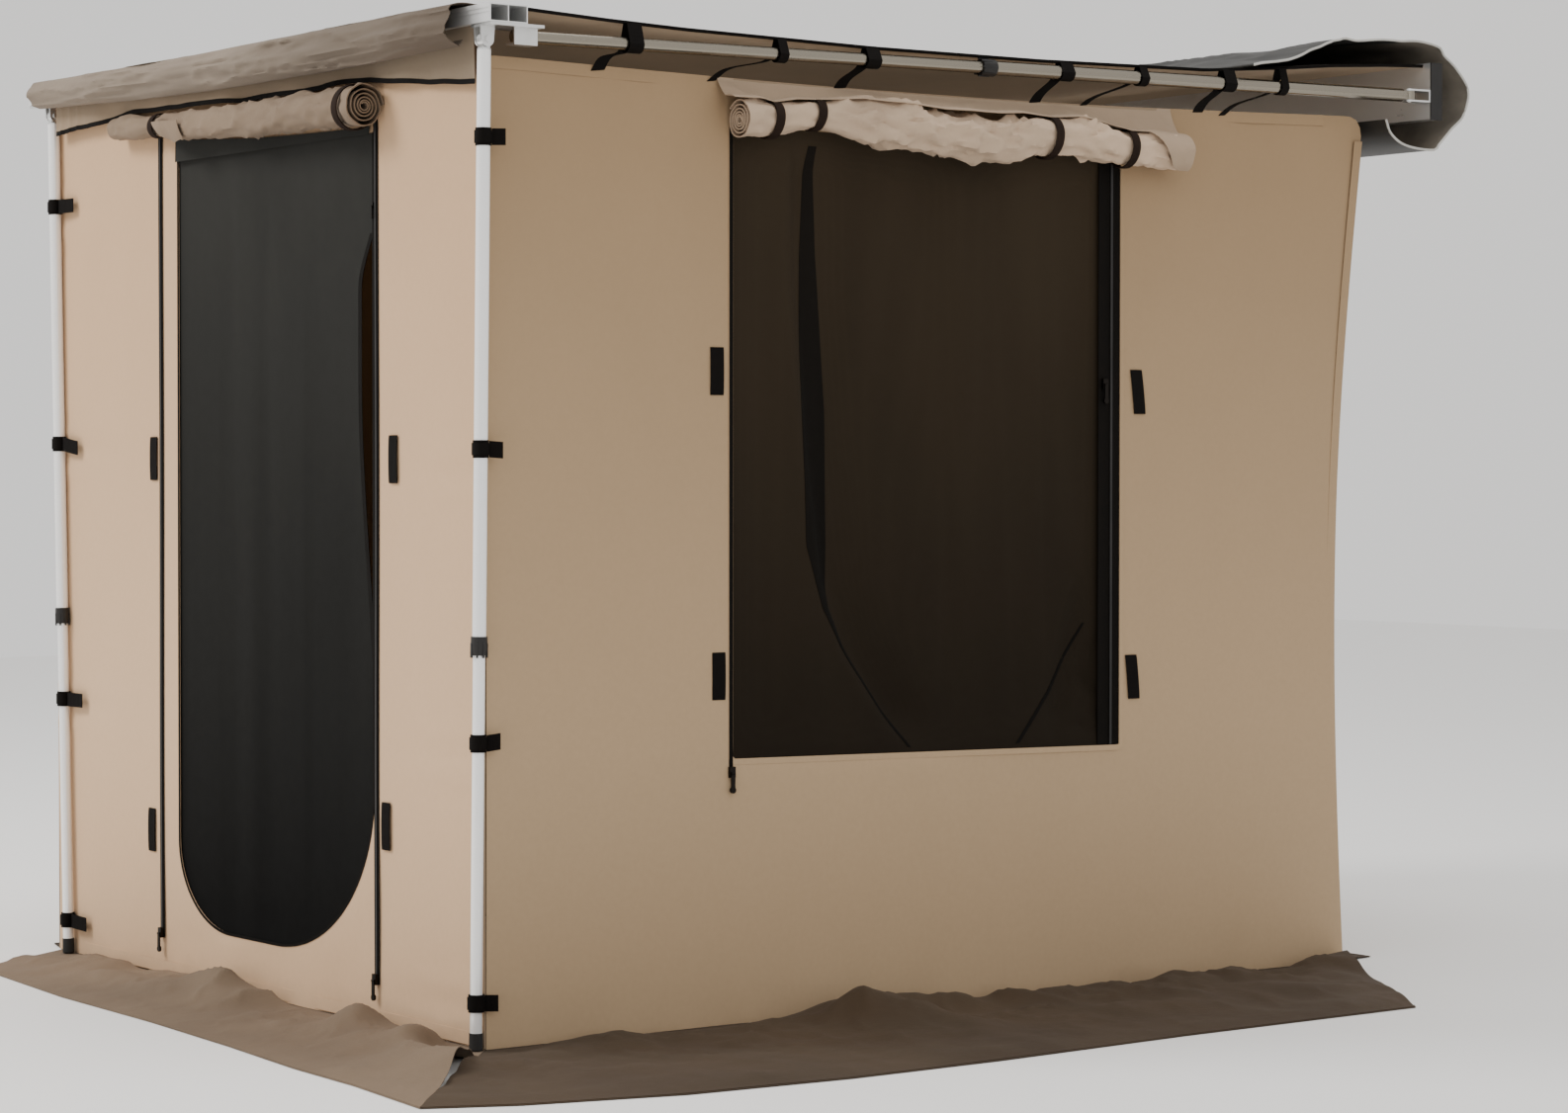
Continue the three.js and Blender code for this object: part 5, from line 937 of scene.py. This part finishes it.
def make_zips():
    """Zip tapes with a raised coil down their middle."""
    for side, x, behind_roll in (
        ("window_side", DOOR_RIGHT_X + 0.015, 0.004),
        ("far_side", DOOR_LEFT_X - 0.084, 0.036),
    ):
        low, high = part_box("door_zip_" + side)
        heights = np.linspace(low.z, high.z + behind_roll, 120)
        line = at(x + 0.0012 * np.sin(heights * 5), FRONT_WALL_Y - 0.0012, heights)
        tape = ribbon("door_zip_tape_" + side, line, X_WAY, 0.018, ZIP_TAPE)
        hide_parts("door_zip_" + side)
        coil_line = line - [0, 0.0012, 0]
        coil = ribbon("door_zip_coil_" + side, coil_line, X_WAY, 0.005, PLASTIC, 0.0016)
        coil.parent = tape.parent
    low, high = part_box("window_zip_strip")
    line = at(SIDE_X - 0.0016, (low.y + high.y) / 2, np.linspace(low.z, high.z, 120))
    strip = ribbon("window_zip_fly", line, Y_WAY, 0.06, ZIP_TAPE, CLOTH, bow=-0.001)
    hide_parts("window_zip_strip")
    ribbon("window_zip_coil", line + [0.0012, 0.006, 0], Y_WAY, 0.006, PLASTIC, 0.0018)


# Rolled flaps. Half a roll's girth and the height of its middle, at shares of its length

DOOR_ROLL_X, DOOR_ROLL_LENGTH = -0.585, 1.16
DOOR_GIRTHS = [
    *((0, 0.025), (0.1, 0.027), (0.184, 0.022), (0.26, 0.031), (0.5, 0.037)),
    *((0.75, 0.042), (0.9, 0.043), (0.955, 0.04), (0.98, 0.045), (1, 0.046)),
]
DOOR_HEIGHTS = [
    *((0, -0.179), (0.184, -0.186), (0.3, -0.197), (0.55, -0.209), (0.8, -0.213), (1, -0.217)),
]
DOOR_STRAPS = (0.184, 0.955)
WINDOW_ROLL_NEAR_Y, WINDOW_ROLL_FAR_Y = -2.004, -0.822
WINDOW_GIRTHS = [
    *((0, 0.041), (0.03, 0.04), (0.069, 0.033), (0.115, 0.034), (0.165, 0.028)),
    *((0.25, 0.044), (0.33, 0.049), (0.6, 0.049), (0.678, 0.04)),
    *((0.74, 0.045), (0.865, 0.036), (0.93, 0.039), (1, 0.037)),
]
WINDOW_HEIGHTS = [
    *((0, -0.242), (0.069, -0.238), (0.165, -0.221), (0.31, -0.238), (0.42, -0.246)),
    *((0.547, -0.246), (0.678, -0.236), (0.74, -0.236), (0.865, -0.248), (1, -0.252)),
]
WINDOW_STRAPS = (0.069, 0.165, 0.678, 0.865)
ROLL_TURNS, ROLL_CORE, ROLL_STATIONS = 5.4, 0.16, 110
ROLL_REACH = 1.04  # of half the girth, from the wall to the roll's middle


def rolled(opening, look, wall, start, out, length, girths, heights, straps, flat, seed, loose):
    """A flap rolled up against its wall, loose between the straps that tie it up."""
    name = opening + "_flap_roll"
    out, up = np.array(out, float), np.array(UP, float)
    along = np.array([-out[1], out[0], 0.0])
    t, s = uv(ROLL_STATIONS, int(ROLL_TURNS * 36) + 1)
    girth, centre = table(girths, s), table(heights, s)
    nearness = np.minimum(np.abs(s - np.array([straps])).min(axis=1, keepdims=True) / 0.06, 1)
    slack = loose * nearness * smooth(s, 0, 0.03) * smooth(1 - s, 0, 0.03) + 0.03
    angle = 2 * np.pi * ROLL_TURNS * t + 0.5 * s + 0.1 * np.sin(9 * s)
    base = ROLL_CORE + (1 - ROLL_CORE) * t**1.5
    ring = at(np.cos(angle) * base, np.sin(angle) * base, s * 7)
    slanted = at(np.cos(angle + 5 * s) * base, np.sin(angle + 5 * s) * base, s * 3)
    lumps = noise(ring, (1.1, 1.1, 1.2), seed, 2) * 0.6
    folds = creased(ring, (1.2, 1.2, 1.6), seed + 3, 2) ** 2 - 0.35
    drapes = creased(slanted, (1.5, 1.5, 3.2), seed + 7, 3) ** 2 - 0.35
    gathers = np.cos(7 * angle + 40 * s) * 0.08 * np.exp(-((nearness - 0.35) / 0.3) ** 2)
    outer = 0.2 + 0.8 * smooth(t, 0.6, 0.85)
    r = girth * base * (1 + (slack * (lumps + folds + 0.9 * drapes) + gathers) * outer)
    aside = np.maximum(girth * ROLL_REACH + 0.0012 + r * np.cos(angle), 0.0012)
    grid = np.array(start) + along * (s * length)[..., None]
    grid = grid + out * aside[..., None] + up * (centre + r * np.sin(angle))[..., None]
    roll = cloth(name, grid, 0.0026, look)
    turn = np.linspace(0, 2 * np.pi, 48, endpoint=False)[:, None]
    for k, place in enumerate(straps, 1):
        girth = table(girths, place)
        size, middle = girth * 1.07 + 0.002, girth * ROLL_REACH + 0.0034
        band = np.array(start) + along * (place * length + 0.004 * np.sin(turn))
        band = band + out * np.maximum(middle + size * np.cos(turn), 0.001)
        band = band + up * (table(heights, place) + size * np.sin(turn))
        strap = name + "_strap_%d" % k
        ribbon(strap, band, along, 0.02, STRAP, 0.0026, loop=True, bow=0.0006)
    lay_sheet(grid, flat, opening + "_roll")


def make_rolls():
    start = (DOOR_ROLL_X, FRONT_WALL_Y, 0)
    shape = (DOOR_ROLL_LENGTH, DOOR_GIRTHS, DOOR_HEIGHTS, DOOR_STRAPS)
    flat = (DOOR_ROLL_LENGTH, 1.75)
    wall = "front_wall_cloth"
    rolled("door", DOOR_ROLLED_PAINTED_SHADE, wall, start, (0, -1, 0), *shape, flat, 81, 0.15)
    length = WINDOW_ROLL_FAR_Y - WINDOW_ROLL_NEAR_Y
    start = (SIDE_X, WINDOW_ROLL_NEAR_Y, 0)
    shape = (length, WINDOW_GIRTHS, WINDOW_HEIGHTS, WINDOW_STRAPS)
    wall = "window_wall_cloth"
    rolled("window", WINDOW_ROLLED_PAINTED_LIGHT, wall, start, X_WAY, *shape, (length, 1.36), 91, 0.3)


def door_roll_at(x):
    """Half the girth of the door's roll and the height of its middle, at a place across it."""
    share = (x - DOOR_ROLL_X) / DOOR_ROLL_LENGTH
    return table(DOOR_GIRTHS, share), table(DOOR_HEIGHTS, share)


def make_window_flap_top():
    """The part of the window's flap between the wall's top and the roll."""
    u, v = uv(34, 150)
    near, far = WINDOW_ROLL_NEAR_Y, WINDOW_ROLL_FAR_Y
    y = near - 0.026 + (far + 0.004 - near + 0.026) * u
    share = np.clip((y - near) / (far - near), 0, 1)
    girth, centre = table(WINDOW_GIRTHS, share), table(WINDOW_HEIGHTS, share)
    first = math.radians(100)
    last = np.radians(62 - 118 * smooth(u, 0.9, 0.97))
    hanging = 0.45  # share of the rows above the roll, the others lie on it
    turn = first + (last - first) * smooth(v, hanging, 1.0)
    skin = girth * 1.13 + 0.003
    middle_x, wall_x = girth * ROLL_REACH, 0.0035
    top_z = wall_top_z(y) - 0.001
    start_x = middle_x + skin * np.cos(first)
    start_z = centre + skin * np.sin(first)
    down = np.clip(v / hanging, 0, 1)
    flat_x = wall_x + (start_x - wall_x) * down**1.5
    x = np.where(v < hanging, flat_x, middle_x + skin * np.cos(turn))
    z = np.where(v < hanging, top_z + (start_z - top_z) * down, centre + skin * np.sin(turn))
    points = at(y, z * 1.5 + y * 0.4, 0)
    fold = creased(points, (9, 9, 1), 191, 3) ** 2 * 0.006
    fold = fold + noise(points, (22, 14, 1), 195, 2) * 0.0012
    x = SIDE_X + np.maximum(x + fold * smooth(v, 0.05, 0.3), 0.0032)
    grid = at(x, y, z)
    band = cloth("window_flap_top", grid, CLOTH, FLAP)
    lay_sheet(grid, (1.212, None))
    line = at(SIDE_X + 0.0045, y[0, 5:-5], top_z[0, 5:-5] - 0.004)
    ribbon("window_flap_seam", line, UP, 0.008, BINDING)


def make_door_flap_corner():
    """The corner of the door's flap that hangs out of its roll."""
    u, v = uv(16, 20)
    x = -0.35 + 0.16 * u + 0.012 * v
    girth, centre = door_roll_at(x)
    top = centre + 0.3 * girth
    low = centre - girth * 0.6 - 0.018 * (1 - np.abs(u - 0.72) / 0.72) ** 1.2
    y = FRONT_WALL_Y - girth * 2.2 - 0.005 + 0.012 * v**2 - 0.004 * np.sin(9 * u) * v
    grid = at(x, y, top + (low - top) * v)
    corner = cloth("door_flap_corner", grid, CLOTH, DOOR_ROLLED_PAINTED_SHADE)
    lay_sheet(grid, (0.17, None))


def make_door_net_head():
    """The sewn top strip of the door's net, between its hinge line and the roll."""
    u, v = uv(8, 60)
    x = DOOR_LEFT_X + 0.001 + (DOOR_RIGHT_X - DOOR_LEFT_X - 0.002) * u
    girth, centre = door_roll_at(x)
    top = centre - 0.86 * girth
    z = top + (DOOR_TOP_Z - 0.004 - top) * v
    grid = at(x, FRONT_WALL_Y - 0.0068 - 0.0012 * v, z)
    strip = cloth("door_net_head", grid, 0.0012, DOOR_NET)
    lay_sheet(grid, (0.855, None))


# Canopy and valance

CANOPY_HALF = 0.985
FLAT_ROWS, WRAP_ROWS = 70, 46
WRAP_LIFT = [(-1, 1), (-0.63, 0.5), (-0.13, -0.4), (0.34, -1.4), (0.77, -0.7), (1, -0.4)]
VALANCE_FAR_X, VALANCE_NEAR_X = -0.904, 0.951
VALANCE_DEPTH = 0.108
VALANCE_DROP = [
    *((0, 0.69), (0.09, 0.67), (0.19, 0.5), (0.26, 0.55), (0.33, 0.58), (0.5, 0.64)),
    *((0.62, 0.68), (0.72, 0.63), (0.78, 0.67), (0.84, 0.79), (0.93, 0.9), (1, 1)),
]


def wrap_line(share, fullness):
    """The canopy's excess in front of the rail, as points across Y and Z."""
    face, top = RAIL_FRONT_Y - 0.0043, RAIL_TOP_Z
    bulge = 0.034 * fullness
    drop = 0.046 + 0.027 * (share + 1) / 2 + 0.015 * (1 - share**2)
    lift = 0.01 * table(WRAP_LIFT, share)
    return [
        (RAIL_BACK_Y - 0.043, top + 0.00255),
        (RAIL_FRONT_Y + 0.008, top + 0.00755),
        (face - bulge * 0.5, top + 0.0025 + max(lift, 0) * 0.8),
        (face - bulge, top - drop * 0.28 + lift * 0.8),
        (face - bulge * 1.1, top - drop * 0.55 + lift * 0.4),
        (face - bulge * 0.85, top - drop * 0.84),
        (face - bulge * 0.3, top - drop - 0.003),
        (face + 0.0005, top - drop * 0.86),
    ]


def make_canopy():
    ys = np.linspace(BACK_RAIL_FRONT_Y - 0.0003, RAIL_BACK_Y + 0.004, FLAT_ROWS)
    plain = at(ys, canopy_top_z(ys) - 0.00125)
    shares = np.linspace(-1, 1, 170)
    lines = []
    for share in shares:
        fullness = 1 + 0.14 * math.sin(7 * share + 1) + 0.1 * math.sin(17 * share)
        lines.append(np.concatenate([plain, spline(wrap_line(share, fullness), WRAP_ROWS)]))
    y, z = np.array(lines).transpose(2, 1, 0)
    rows = len(y)
    row = np.arange(rows)[:, None]
    narrow = smooth(row, FLAT_ROWS - 1, FLAT_ROWS + 6)
    x = (CANOPY_HALF - 0.045 * narrow) * shares
    flat = 1 - smooth(row, FLAT_ROWS - 8, FLAT_ROWS)
    sides = smooth(1 - np.abs(shares), 0.0, 0.05)
    points = at(x, y, 0)
    ripple = noise(points, (2.2, 1.4, 1), 101, 2) * 0.005
    ripple = ripple + noise(points, (9, 1.2, 1), 103, 2) * 0.0022
    z = z + ripple * flat * sides * smooth(row, 0, 6)
    folded = smooth(row, FLAT_ROWS + 8, FLAT_ROWS + 15) * (1 - smooth(row, rows - 6, rows - 1))
    down = (row - FLAT_ROWS) / WRAP_ROWS
    streaks = creased(at(x * 1.5 + down * 0.4, down * 5, 0), EVEN, 107, 3) ** 2
    pulls = creased(at(x * 5 + down * 2, down * 3 - x * 2, 0), EVEN, 109, 3) ** 3
    fine = noise(at(x * 10, down * 14, 0), EVEN, 111, 3) * 0.0009
    y = y - (streaks * 0.01 + pulls * 0.006 + fine - 0.005) * folded
    grid = at(x, y, z)
    lower = (0, FLAT_ROWS)
    top = cloth("canopy_cloth", grid, 0.0016, CANOPY, inner=UNDERSIDE_PAINTED_LIGHT, inner_rows=lower)
    lay_sheet(grid, (1.97, 2.63), "canopy")
    ys = np.linspace(BACK_RAIL_FRONT_Y - 0.004, RAIL_BACK_Y + 0.01, 120)
    z = canopy_top_z(ys)
    for side, name in ((1, "window"), (-1, "far")):
        hem = at(side * 0.9735, ys, z + 0.0006)
        ribbon("canopy_hem_" + name, hem, X_WAY, 0.022, HEM, CLOTH)
        edge = at(side * (CANOPY_HALF + 0.001), ys, z - 0.0024)
        ribbon("canopy_edge_" + name, edge, UP, 0.007, WEBBING)


def make_valance():
    u, v = uv(30, 260)
    x = VALANCE_FAR_X + (VALANCE_NEAR_X - VALANCE_FAR_X) * u
    points = at(x, v * 0.12, 0)
    wave = noise(points, (5, 1.5, 1), 121, 2) * 0.008 + noise(points, (16, 2, 1), 123, 2) * 0.0035
    pleats = 0.003 * np.maximum(np.sin(x * 150), 0) ** 3 * smooth(-x, 0.72, 0.8)
    y = RAIL_FRONT_Y + 0.0135 + (wave * v**0.8 - pleats) * smooth(v, 0, 0.2)
    z = RAIL_BOTTOM_Z - 0.0004 - VALANCE_DEPTH * table(VALANCE_DROP, u) * v
    z = z + 0.002 * noise(points, (9, 1, 1), 125, 2) * v**2
    grid = at(x, np.minimum(y, -2.5885), z)
    flap = cloth("valance_cloth", grid, CLOTH, VALANCE)
    lay_sheet(grid, (ROOM_WIDTH, 0.1), "front_valance")
    edge = grid[-1] + [0, -0.0009, 0.003]
    ribbon("valance_binding", edge, UP, 0.01, WEBBING, CLOTH)


# Skirts on the ground

FRONT_SKIRT, WINDOW_SKIRT, HIDDEN_SKIRT = 0.34, 0.64, 0.11  # widths
FRONT_REACH = [  # of the skirt's width, from the far corner on
    *((0, 0.87), (0.07, 0.9), (0.24, 1), (0.44, 1.03)),
    *((0.62, 1.1), (0.76, 1.18), (0.87, 1.2), (1, 1.28)),
]
WINDOW_REACH = [  # of the skirt's width, from the front corner on
    *((0, 0.775), (0.07, 0.89), (0.2, 1.01), (0.35, 1.055), (0.5, 1.05), (0.72, 1), (1, 0.975)),
]
FEET = ((0.947, -2.592, 0.16), (-0.868, -2.592, 0.16))  # place, and how far a skirt is calm


def lay_skirt(side, inner, outer, seed, crumple, calm, look):
    """A skirt from the wall out over the ground, crumpled along the wall."""
    shares = np.linspace(0, 1, 34)[:, None] ** 1.15
    grid = inner + (outer - inner) * shares[..., None]
    ridges = (0.5 + 0.5 * noise(grid, (3.4, 3.4, 1), seed, 3)) ** 2
    small = creased(grid, (10, 10, 1), seed + 5, 3) ** 2
    near_wall = smooth(shares, 0.02, 0.1) * (1 - smooth(shares, 0.25, 0.75))
    out = smooth(shares, 0.05, 0.2) * (1 - smooth(shares, 0.88, 1.0))
    height = (0.04 * ridges + 0.0035 * small) * near_wall + (0.009 * ridges + 0.002 * small) * out
    for x, y, reach in calm:
        away = np.hypot(grid[..., 0] - x, grid[..., 1] - y)
        height = height * smooth(away, reach * 0.45, reach)
    grid[..., 2] = GROUND_Z + 0.0013 + height * crumple
    skirt = cloth(side + "_skirt_cloth", grid, 0.0016, look)
    span = float(np.linalg.norm(np.diff(outer, axis=0), axis=1).sum())
    flat = (span, grid_area(grid) / span)
    lay_sheet(grid, flat, side + "_skirt")
    across = grid[-1] - grid[-3]
    edge = grid[-1] + [0, 0, 0.0012] - across * 0.2
    ribbon(side + "_skirt_hem", edge, across, 0.012, look)


def make_skirts():
    u = np.linspace(0, 1, 200)
    gap = 0.0015  # between two skirts that meet
    x, y, back = SIDE_X - 0.003, FRONT_WALL_Y + 0.003, VEHICLE_WALL_Y
    near_x = SIDE_X + WINDOW_SKIRT * 0.775 - gap
    far_x = -SIDE_X + FRONT_SKIRT * 0.6
    inner = at(-x + 2 * x * u - gap, y, 0)
    outer_y = FRONT_WALL_Y - FRONT_SKIRT * table(FRONT_REACH, u)
    outer = at(far_x + (near_x - far_x) * u, outer_y, 0)
    lay_skirt("front", inner, outer, 131, 1.1, FEET, SKIRT_FRONT_PAINTED_LIGHT)
    near_y, far_y = FRONT_WALL_Y - FRONT_SKIRT * 1.28, back - WINDOW_SKIRT * 0.62
    inner = at(x, y + (back - y) * u, 0)
    outer_x = SIDE_X + WINDOW_SKIRT * table(WINDOW_REACH, u)
    outer = at(outer_x, near_y + (far_y - near_y) * u, 0)
    lay_skirt("window", inner, outer, 141, 1.5, FEET[:1], SKIRT_SIDE_PAINTED_SHADE)
    cut = 0.033  # how much shorter a hidden skirt is at its rim
    inner = at(-x - gap, y + gap + (back - y - gap) * u, 0)
    outer = at(-SIDE_X - HIDDEN_SKIRT, y + cut + (back - cut - y - cut) * u, 0)
    lay_skirt("far", inner, outer, 151, 0.5, FEET[1:], SKIRT_SIDE_PAINTED_SHADE)
    share = 2 * u - 1
    inner = at((x - gap) * share, back - 0.003, 0)
    outer = at((SIDE_X - 0.022) * share, back + HIDDEN_SKIRT, 0)
    lay_skirt("vehicle", inner, outer, 161, 0.5, (), SKIRT_SIDE_PAINTED_SHADE)


# Travel bag

BAG_LENGTH, BAG_PLAIN_X = 2.03, 0.751  # its ends bulge beyond the plain part
COVER_REACH = 0.56
BAG_BACK_Y, BAG_BOTTOM_Z = -0.02965, -0.205


def bag_line(end):
    """The bag's section across Y and Z, with its end bulging by a share."""
    rail, back, bottom = BACK_RAIL_FRONT_Y, BAG_BACK_Y, BAG_BOTTOM_Z
    bulge = 0.078 * end
    tip, low, high = (rail - COVER_REACH * share for share in (1, 0.8, 0.55))
    return [
        (tip, canopy_top_z(tip) + 0.0046),
        (low, canopy_top_z(low) + 0.0161),
        (high, canopy_top_z(high) + 0.046),
        (rail - COVER_REACH * 0.3, 0.0368),
        (rail - COVER_REACH * 0.1, 0.0414),
        (rail + 0.018, 0.0322),
        (back - 0.002, 0.0138),
        (back + bulge * 0.5, -0.0143),
        (back + bulge, -0.062),
        (back + bulge * 0.8, -0.1201),
        (back + bulge * 0.3, -0.1546),
        (-0.0453, bottom + 0.0144),
        (rail, bottom),
        (rail - 0.0825, bottom + 0.0058),
        (rail - 0.132, bottom + 0.0288),
        (rail - 0.15, bottom + 0.062),
    ]


def make_bag():
    rows, end_x = 110, BAG_LENGTH / 2
    x = end_x * np.sin(np.linspace(-1, 1, 150) * math.pi / 2)
    bulges = smooth((np.abs(x) - BAG_PLAIN_X) / (end_x - BAG_PLAIN_X))
    lines = [spline(bag_line(bulge), rows) for bulge in bulges]
    y, z = np.array(lines).transpose(2, 1, 0)
    row = np.linspace(0, 1, rows)[:, None]
    points = at(x, y, z)
    lift = creased(points, (2.5, 7, 3), 171, 3) * 0.009
    lift = lift + noise(points, (6, 12, 6), 173, 2) * 0.003
    z = z + lift * (1 - smooth(row, 0.42, 0.5)) * smooth(row, 0, 0.05)
    y = y + noise(points, (7, 5, 14), 175, 2) * 0.0025 * smooth(row, 0.72, 0.8)
    grid = at(x, y, z)
    lined = (50, rows - 1)
    turned = grid[:, ::-1]
    bag = cloth("travel_bag_cloth", turned, 0.0018, BAG, inner=BAG_LINING_PAINTED_LIGHT, inner_rows=lined)
    lay_sheet(grid, (BAG_LENGTH, None), "travel_bag")
    tube_along("travel_bag_piping_window", grid[:, -1], 0.0028, PIPING_PARTLY_PAINTED_LIGHT)
    tube_along("travel_bag_piping_far", grid[:, 0], 0.0028, PIPING_PARTLY_PAINTED_LIGHT)
    tube_along("travel_bag_front_cord", grid[0], 0.003, BAG)


# Webbing on the arms and legs

ARM_STRAPS = (  # share of the arm's length, width, and how far its tail reaches along the arm
    *((0.886, 0.034, 0.024), (0.643, 0.034, 0.024), (0.428, 0.034, 0.024), (0.234, 0.034, 0.024)),
    *((0.738, 0.022, 0.06), (0.338, 0.022, 0.06), (0.167, 0.022, 0.06)),
)
ARM_LOOP = 0.0175  # radius
LEG_LOOP, LEG_OUTER_LOOP = 0.0148, 0.0168
LEGS = (  # label, side, X of its head and foot, heights of its straps as shares of the drop
    ("window", 1, 0.981, 0.947, (0.852, 0.563, 0.289, 0.046)),
    ("far", -1, 0.934, 0.868, (0.839, 0.573, 0.287, 0.039)),
)
STRAP_NAMES = ("top", "upper", "lower", "bottom")
FLAG_CURLS = (0.0, -0.002, 0.004, 0.0)  # of the window leg's straps' loose ends
FLAG_SAGS = (0.0, -0.01, -0.001, -0.004)  # of the far leg's


def merge(name, pieces):
    """Joins several objects into one piece."""
    points, faces = [], []
    for piece in pieces:
        start = len(points)
        points += [tuple(v.co) for v in piece.data.vertices]
        faces += [tuple(start + i for i in p.vertices) for p in piece.data.polygons]
        bpy.data.objects.remove(piece)
    return put_mesh(name, points, faces, WEBBING)


def make_arm_straps():
    half_turn = np.linspace(math.pi, 2 * math.pi, 17)
    straps_y = [ARM_PIN_Y - ARM_LENGTH * strap[0] for strap in ARM_STRAPS]
    for label, side, stack, drop in (
        ("window", 1, 0.0, WALL_DROP),
        ("far", -1, ARM_STACK, FAR_WALL_DROP),
    ):
        pieces = []
        for y, (_, width, tail) in zip(straps_y, ARM_STRAPS):
            arm_z = ARM_PIN_Z - stack - (ARM_PIN_Y - y) * ARM_FALL
            top = canopy_top_z(y) - 0.0035
            loop_x = side * (ARM_X + ARM_LOOP * np.cos(half_turn))
            under = at(loop_x, arm_z + ARM_LOOP * np.sin(half_turn))
            ends = [(side * (ARM_X + shift), top) for shift in (-0.006, 0.006)]
            line = spline([ends[0], *under, ends[1]], 50)
            path = at(line[:, 0], y, line[:, 1])
            pieces.append(ribbon("strap", path, Y_WAY, width, WEBBING, STRAP_TAPE))
            end_y = y - ARM_LENGTH * tail
            end_z = wall_top_z(end_y, drop) - 0.004
            loop_x = side * (ARM_X - ARM_LOOP - 0.001)
            points = [
                (loop_x, y, arm_z + 0.008),
                (loop_x, y - 0.15 * (y - end_y), arm_z - 0.014),
                (side * (SIDE_X + 0.01), y - 0.75 * (y - end_y), end_z + 0.02),
                (side * (SIDE_X + 0.0022), end_y, end_z - 0.006),
            ]
            line, across = spline(points, 24), (0, 1, 0.12)
            pieces.append(ribbon("strap", line, across, width * 0.92, WEBBING, 0.0015))
        ys = np.linspace(max(straps_y) + 0.03, min(straps_y) - 0.03, 90)
        tape = at(side * ARM_X, ys, canopy_top_z(ys) - 0.0042)
        pieces.append(ribbon("strap", tape, X_WAY, 0.014, WEBBING, CLOTH))
        whole = merge("arm_webbing_" + label, pieces)
        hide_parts("arm_straps_" + label)
        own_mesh(whole)


def leg_strap(side, leg_x, z, k):
    """The pieces of one strap: two turns round the leg, its loose end and its root at the wall."""
    centre = np.array([side * leg_x, LEG_Y, z])
    turn = np.linspace(0, 2 * np.pi, 40, endpoint=False)
    ring = at(np.cos(turn), np.sin(turn), 0)
    if side > 0:
        end_x, curl = min(leg_x, SIDE_X - 0.008), FLAG_CURLS[k] * 40
        way = np.array([0.55, 0.83, 0.0])
        flag = [way * d + [0, 0, curl * (d - 0.016)] for d in (0.016, 0.024, 0.033, 0.043)]
    else:
        end_x, sag = -leg_x, FLAG_SAGS[k]
        flag = [(0.0165, 0.001, 0), (0.035, -0.002, sag * 0.15)]
        flag += [(0.06, 0.001, sag * 0.6), (0.088, 0.004, sag)]
    end = np.array([end_x, FRONT_WALL_Y - 0.0015, z])
    start = centre + unit(end - centre) * 0.0155
    flag = spline(centre + np.array(flag), 20)
    root = spline([start, (start + end) / 2, end], 10)
    inner, outer = centre + LEG_LOOP * ring, centre + LEG_OUTER_LOOP * ring
    return [
        ribbon("strap", inner, UP, 0.034, WEBBING, 0.0018, loop=True, bow=0.0008),
        ribbon("strap", outer, UP, 0.024, WEBBING, STRAP_TAPE, loop=True),
        ribbon("strap", flag, UP, 0.032, WEBBING, 0.0018),
        ribbon("strap", root, UP, 0.034, WEBBING, STRAP_TAPE),
    ]


def make_leg_straps():
    for label, side, top_x, foot_x, shares in LEGS:
        for k, (name, share) in enumerate(zip(STRAP_NAMES, shares)):
            z = GROUND_Z * (1 - share)
            down = (LEG_PIVOT_Z - z) / (LEG_PIVOT_Z - GROUND_Z)
            pieces = leg_strap(side, top_x - (top_x - foot_x) * down, z, k)
            whole = merge("leg_webbing_%s_%s" % (label, name), pieces)
            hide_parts("leg_strap_%s_%s" % (label, name))
            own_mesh(whole)


make_front_wall()
make_corner_piping()
make_window_wall()
make_plain_walls()
make_tabs()
make_door_mesh()
make_window_mesh()
make_zips()
make_rolls()
make_window_flap_top()
make_door_flap_corner()
make_door_net_head()
make_canopy()
make_valance()
make_skirts()
make_bag()
make_arm_straps()
make_leg_straps()
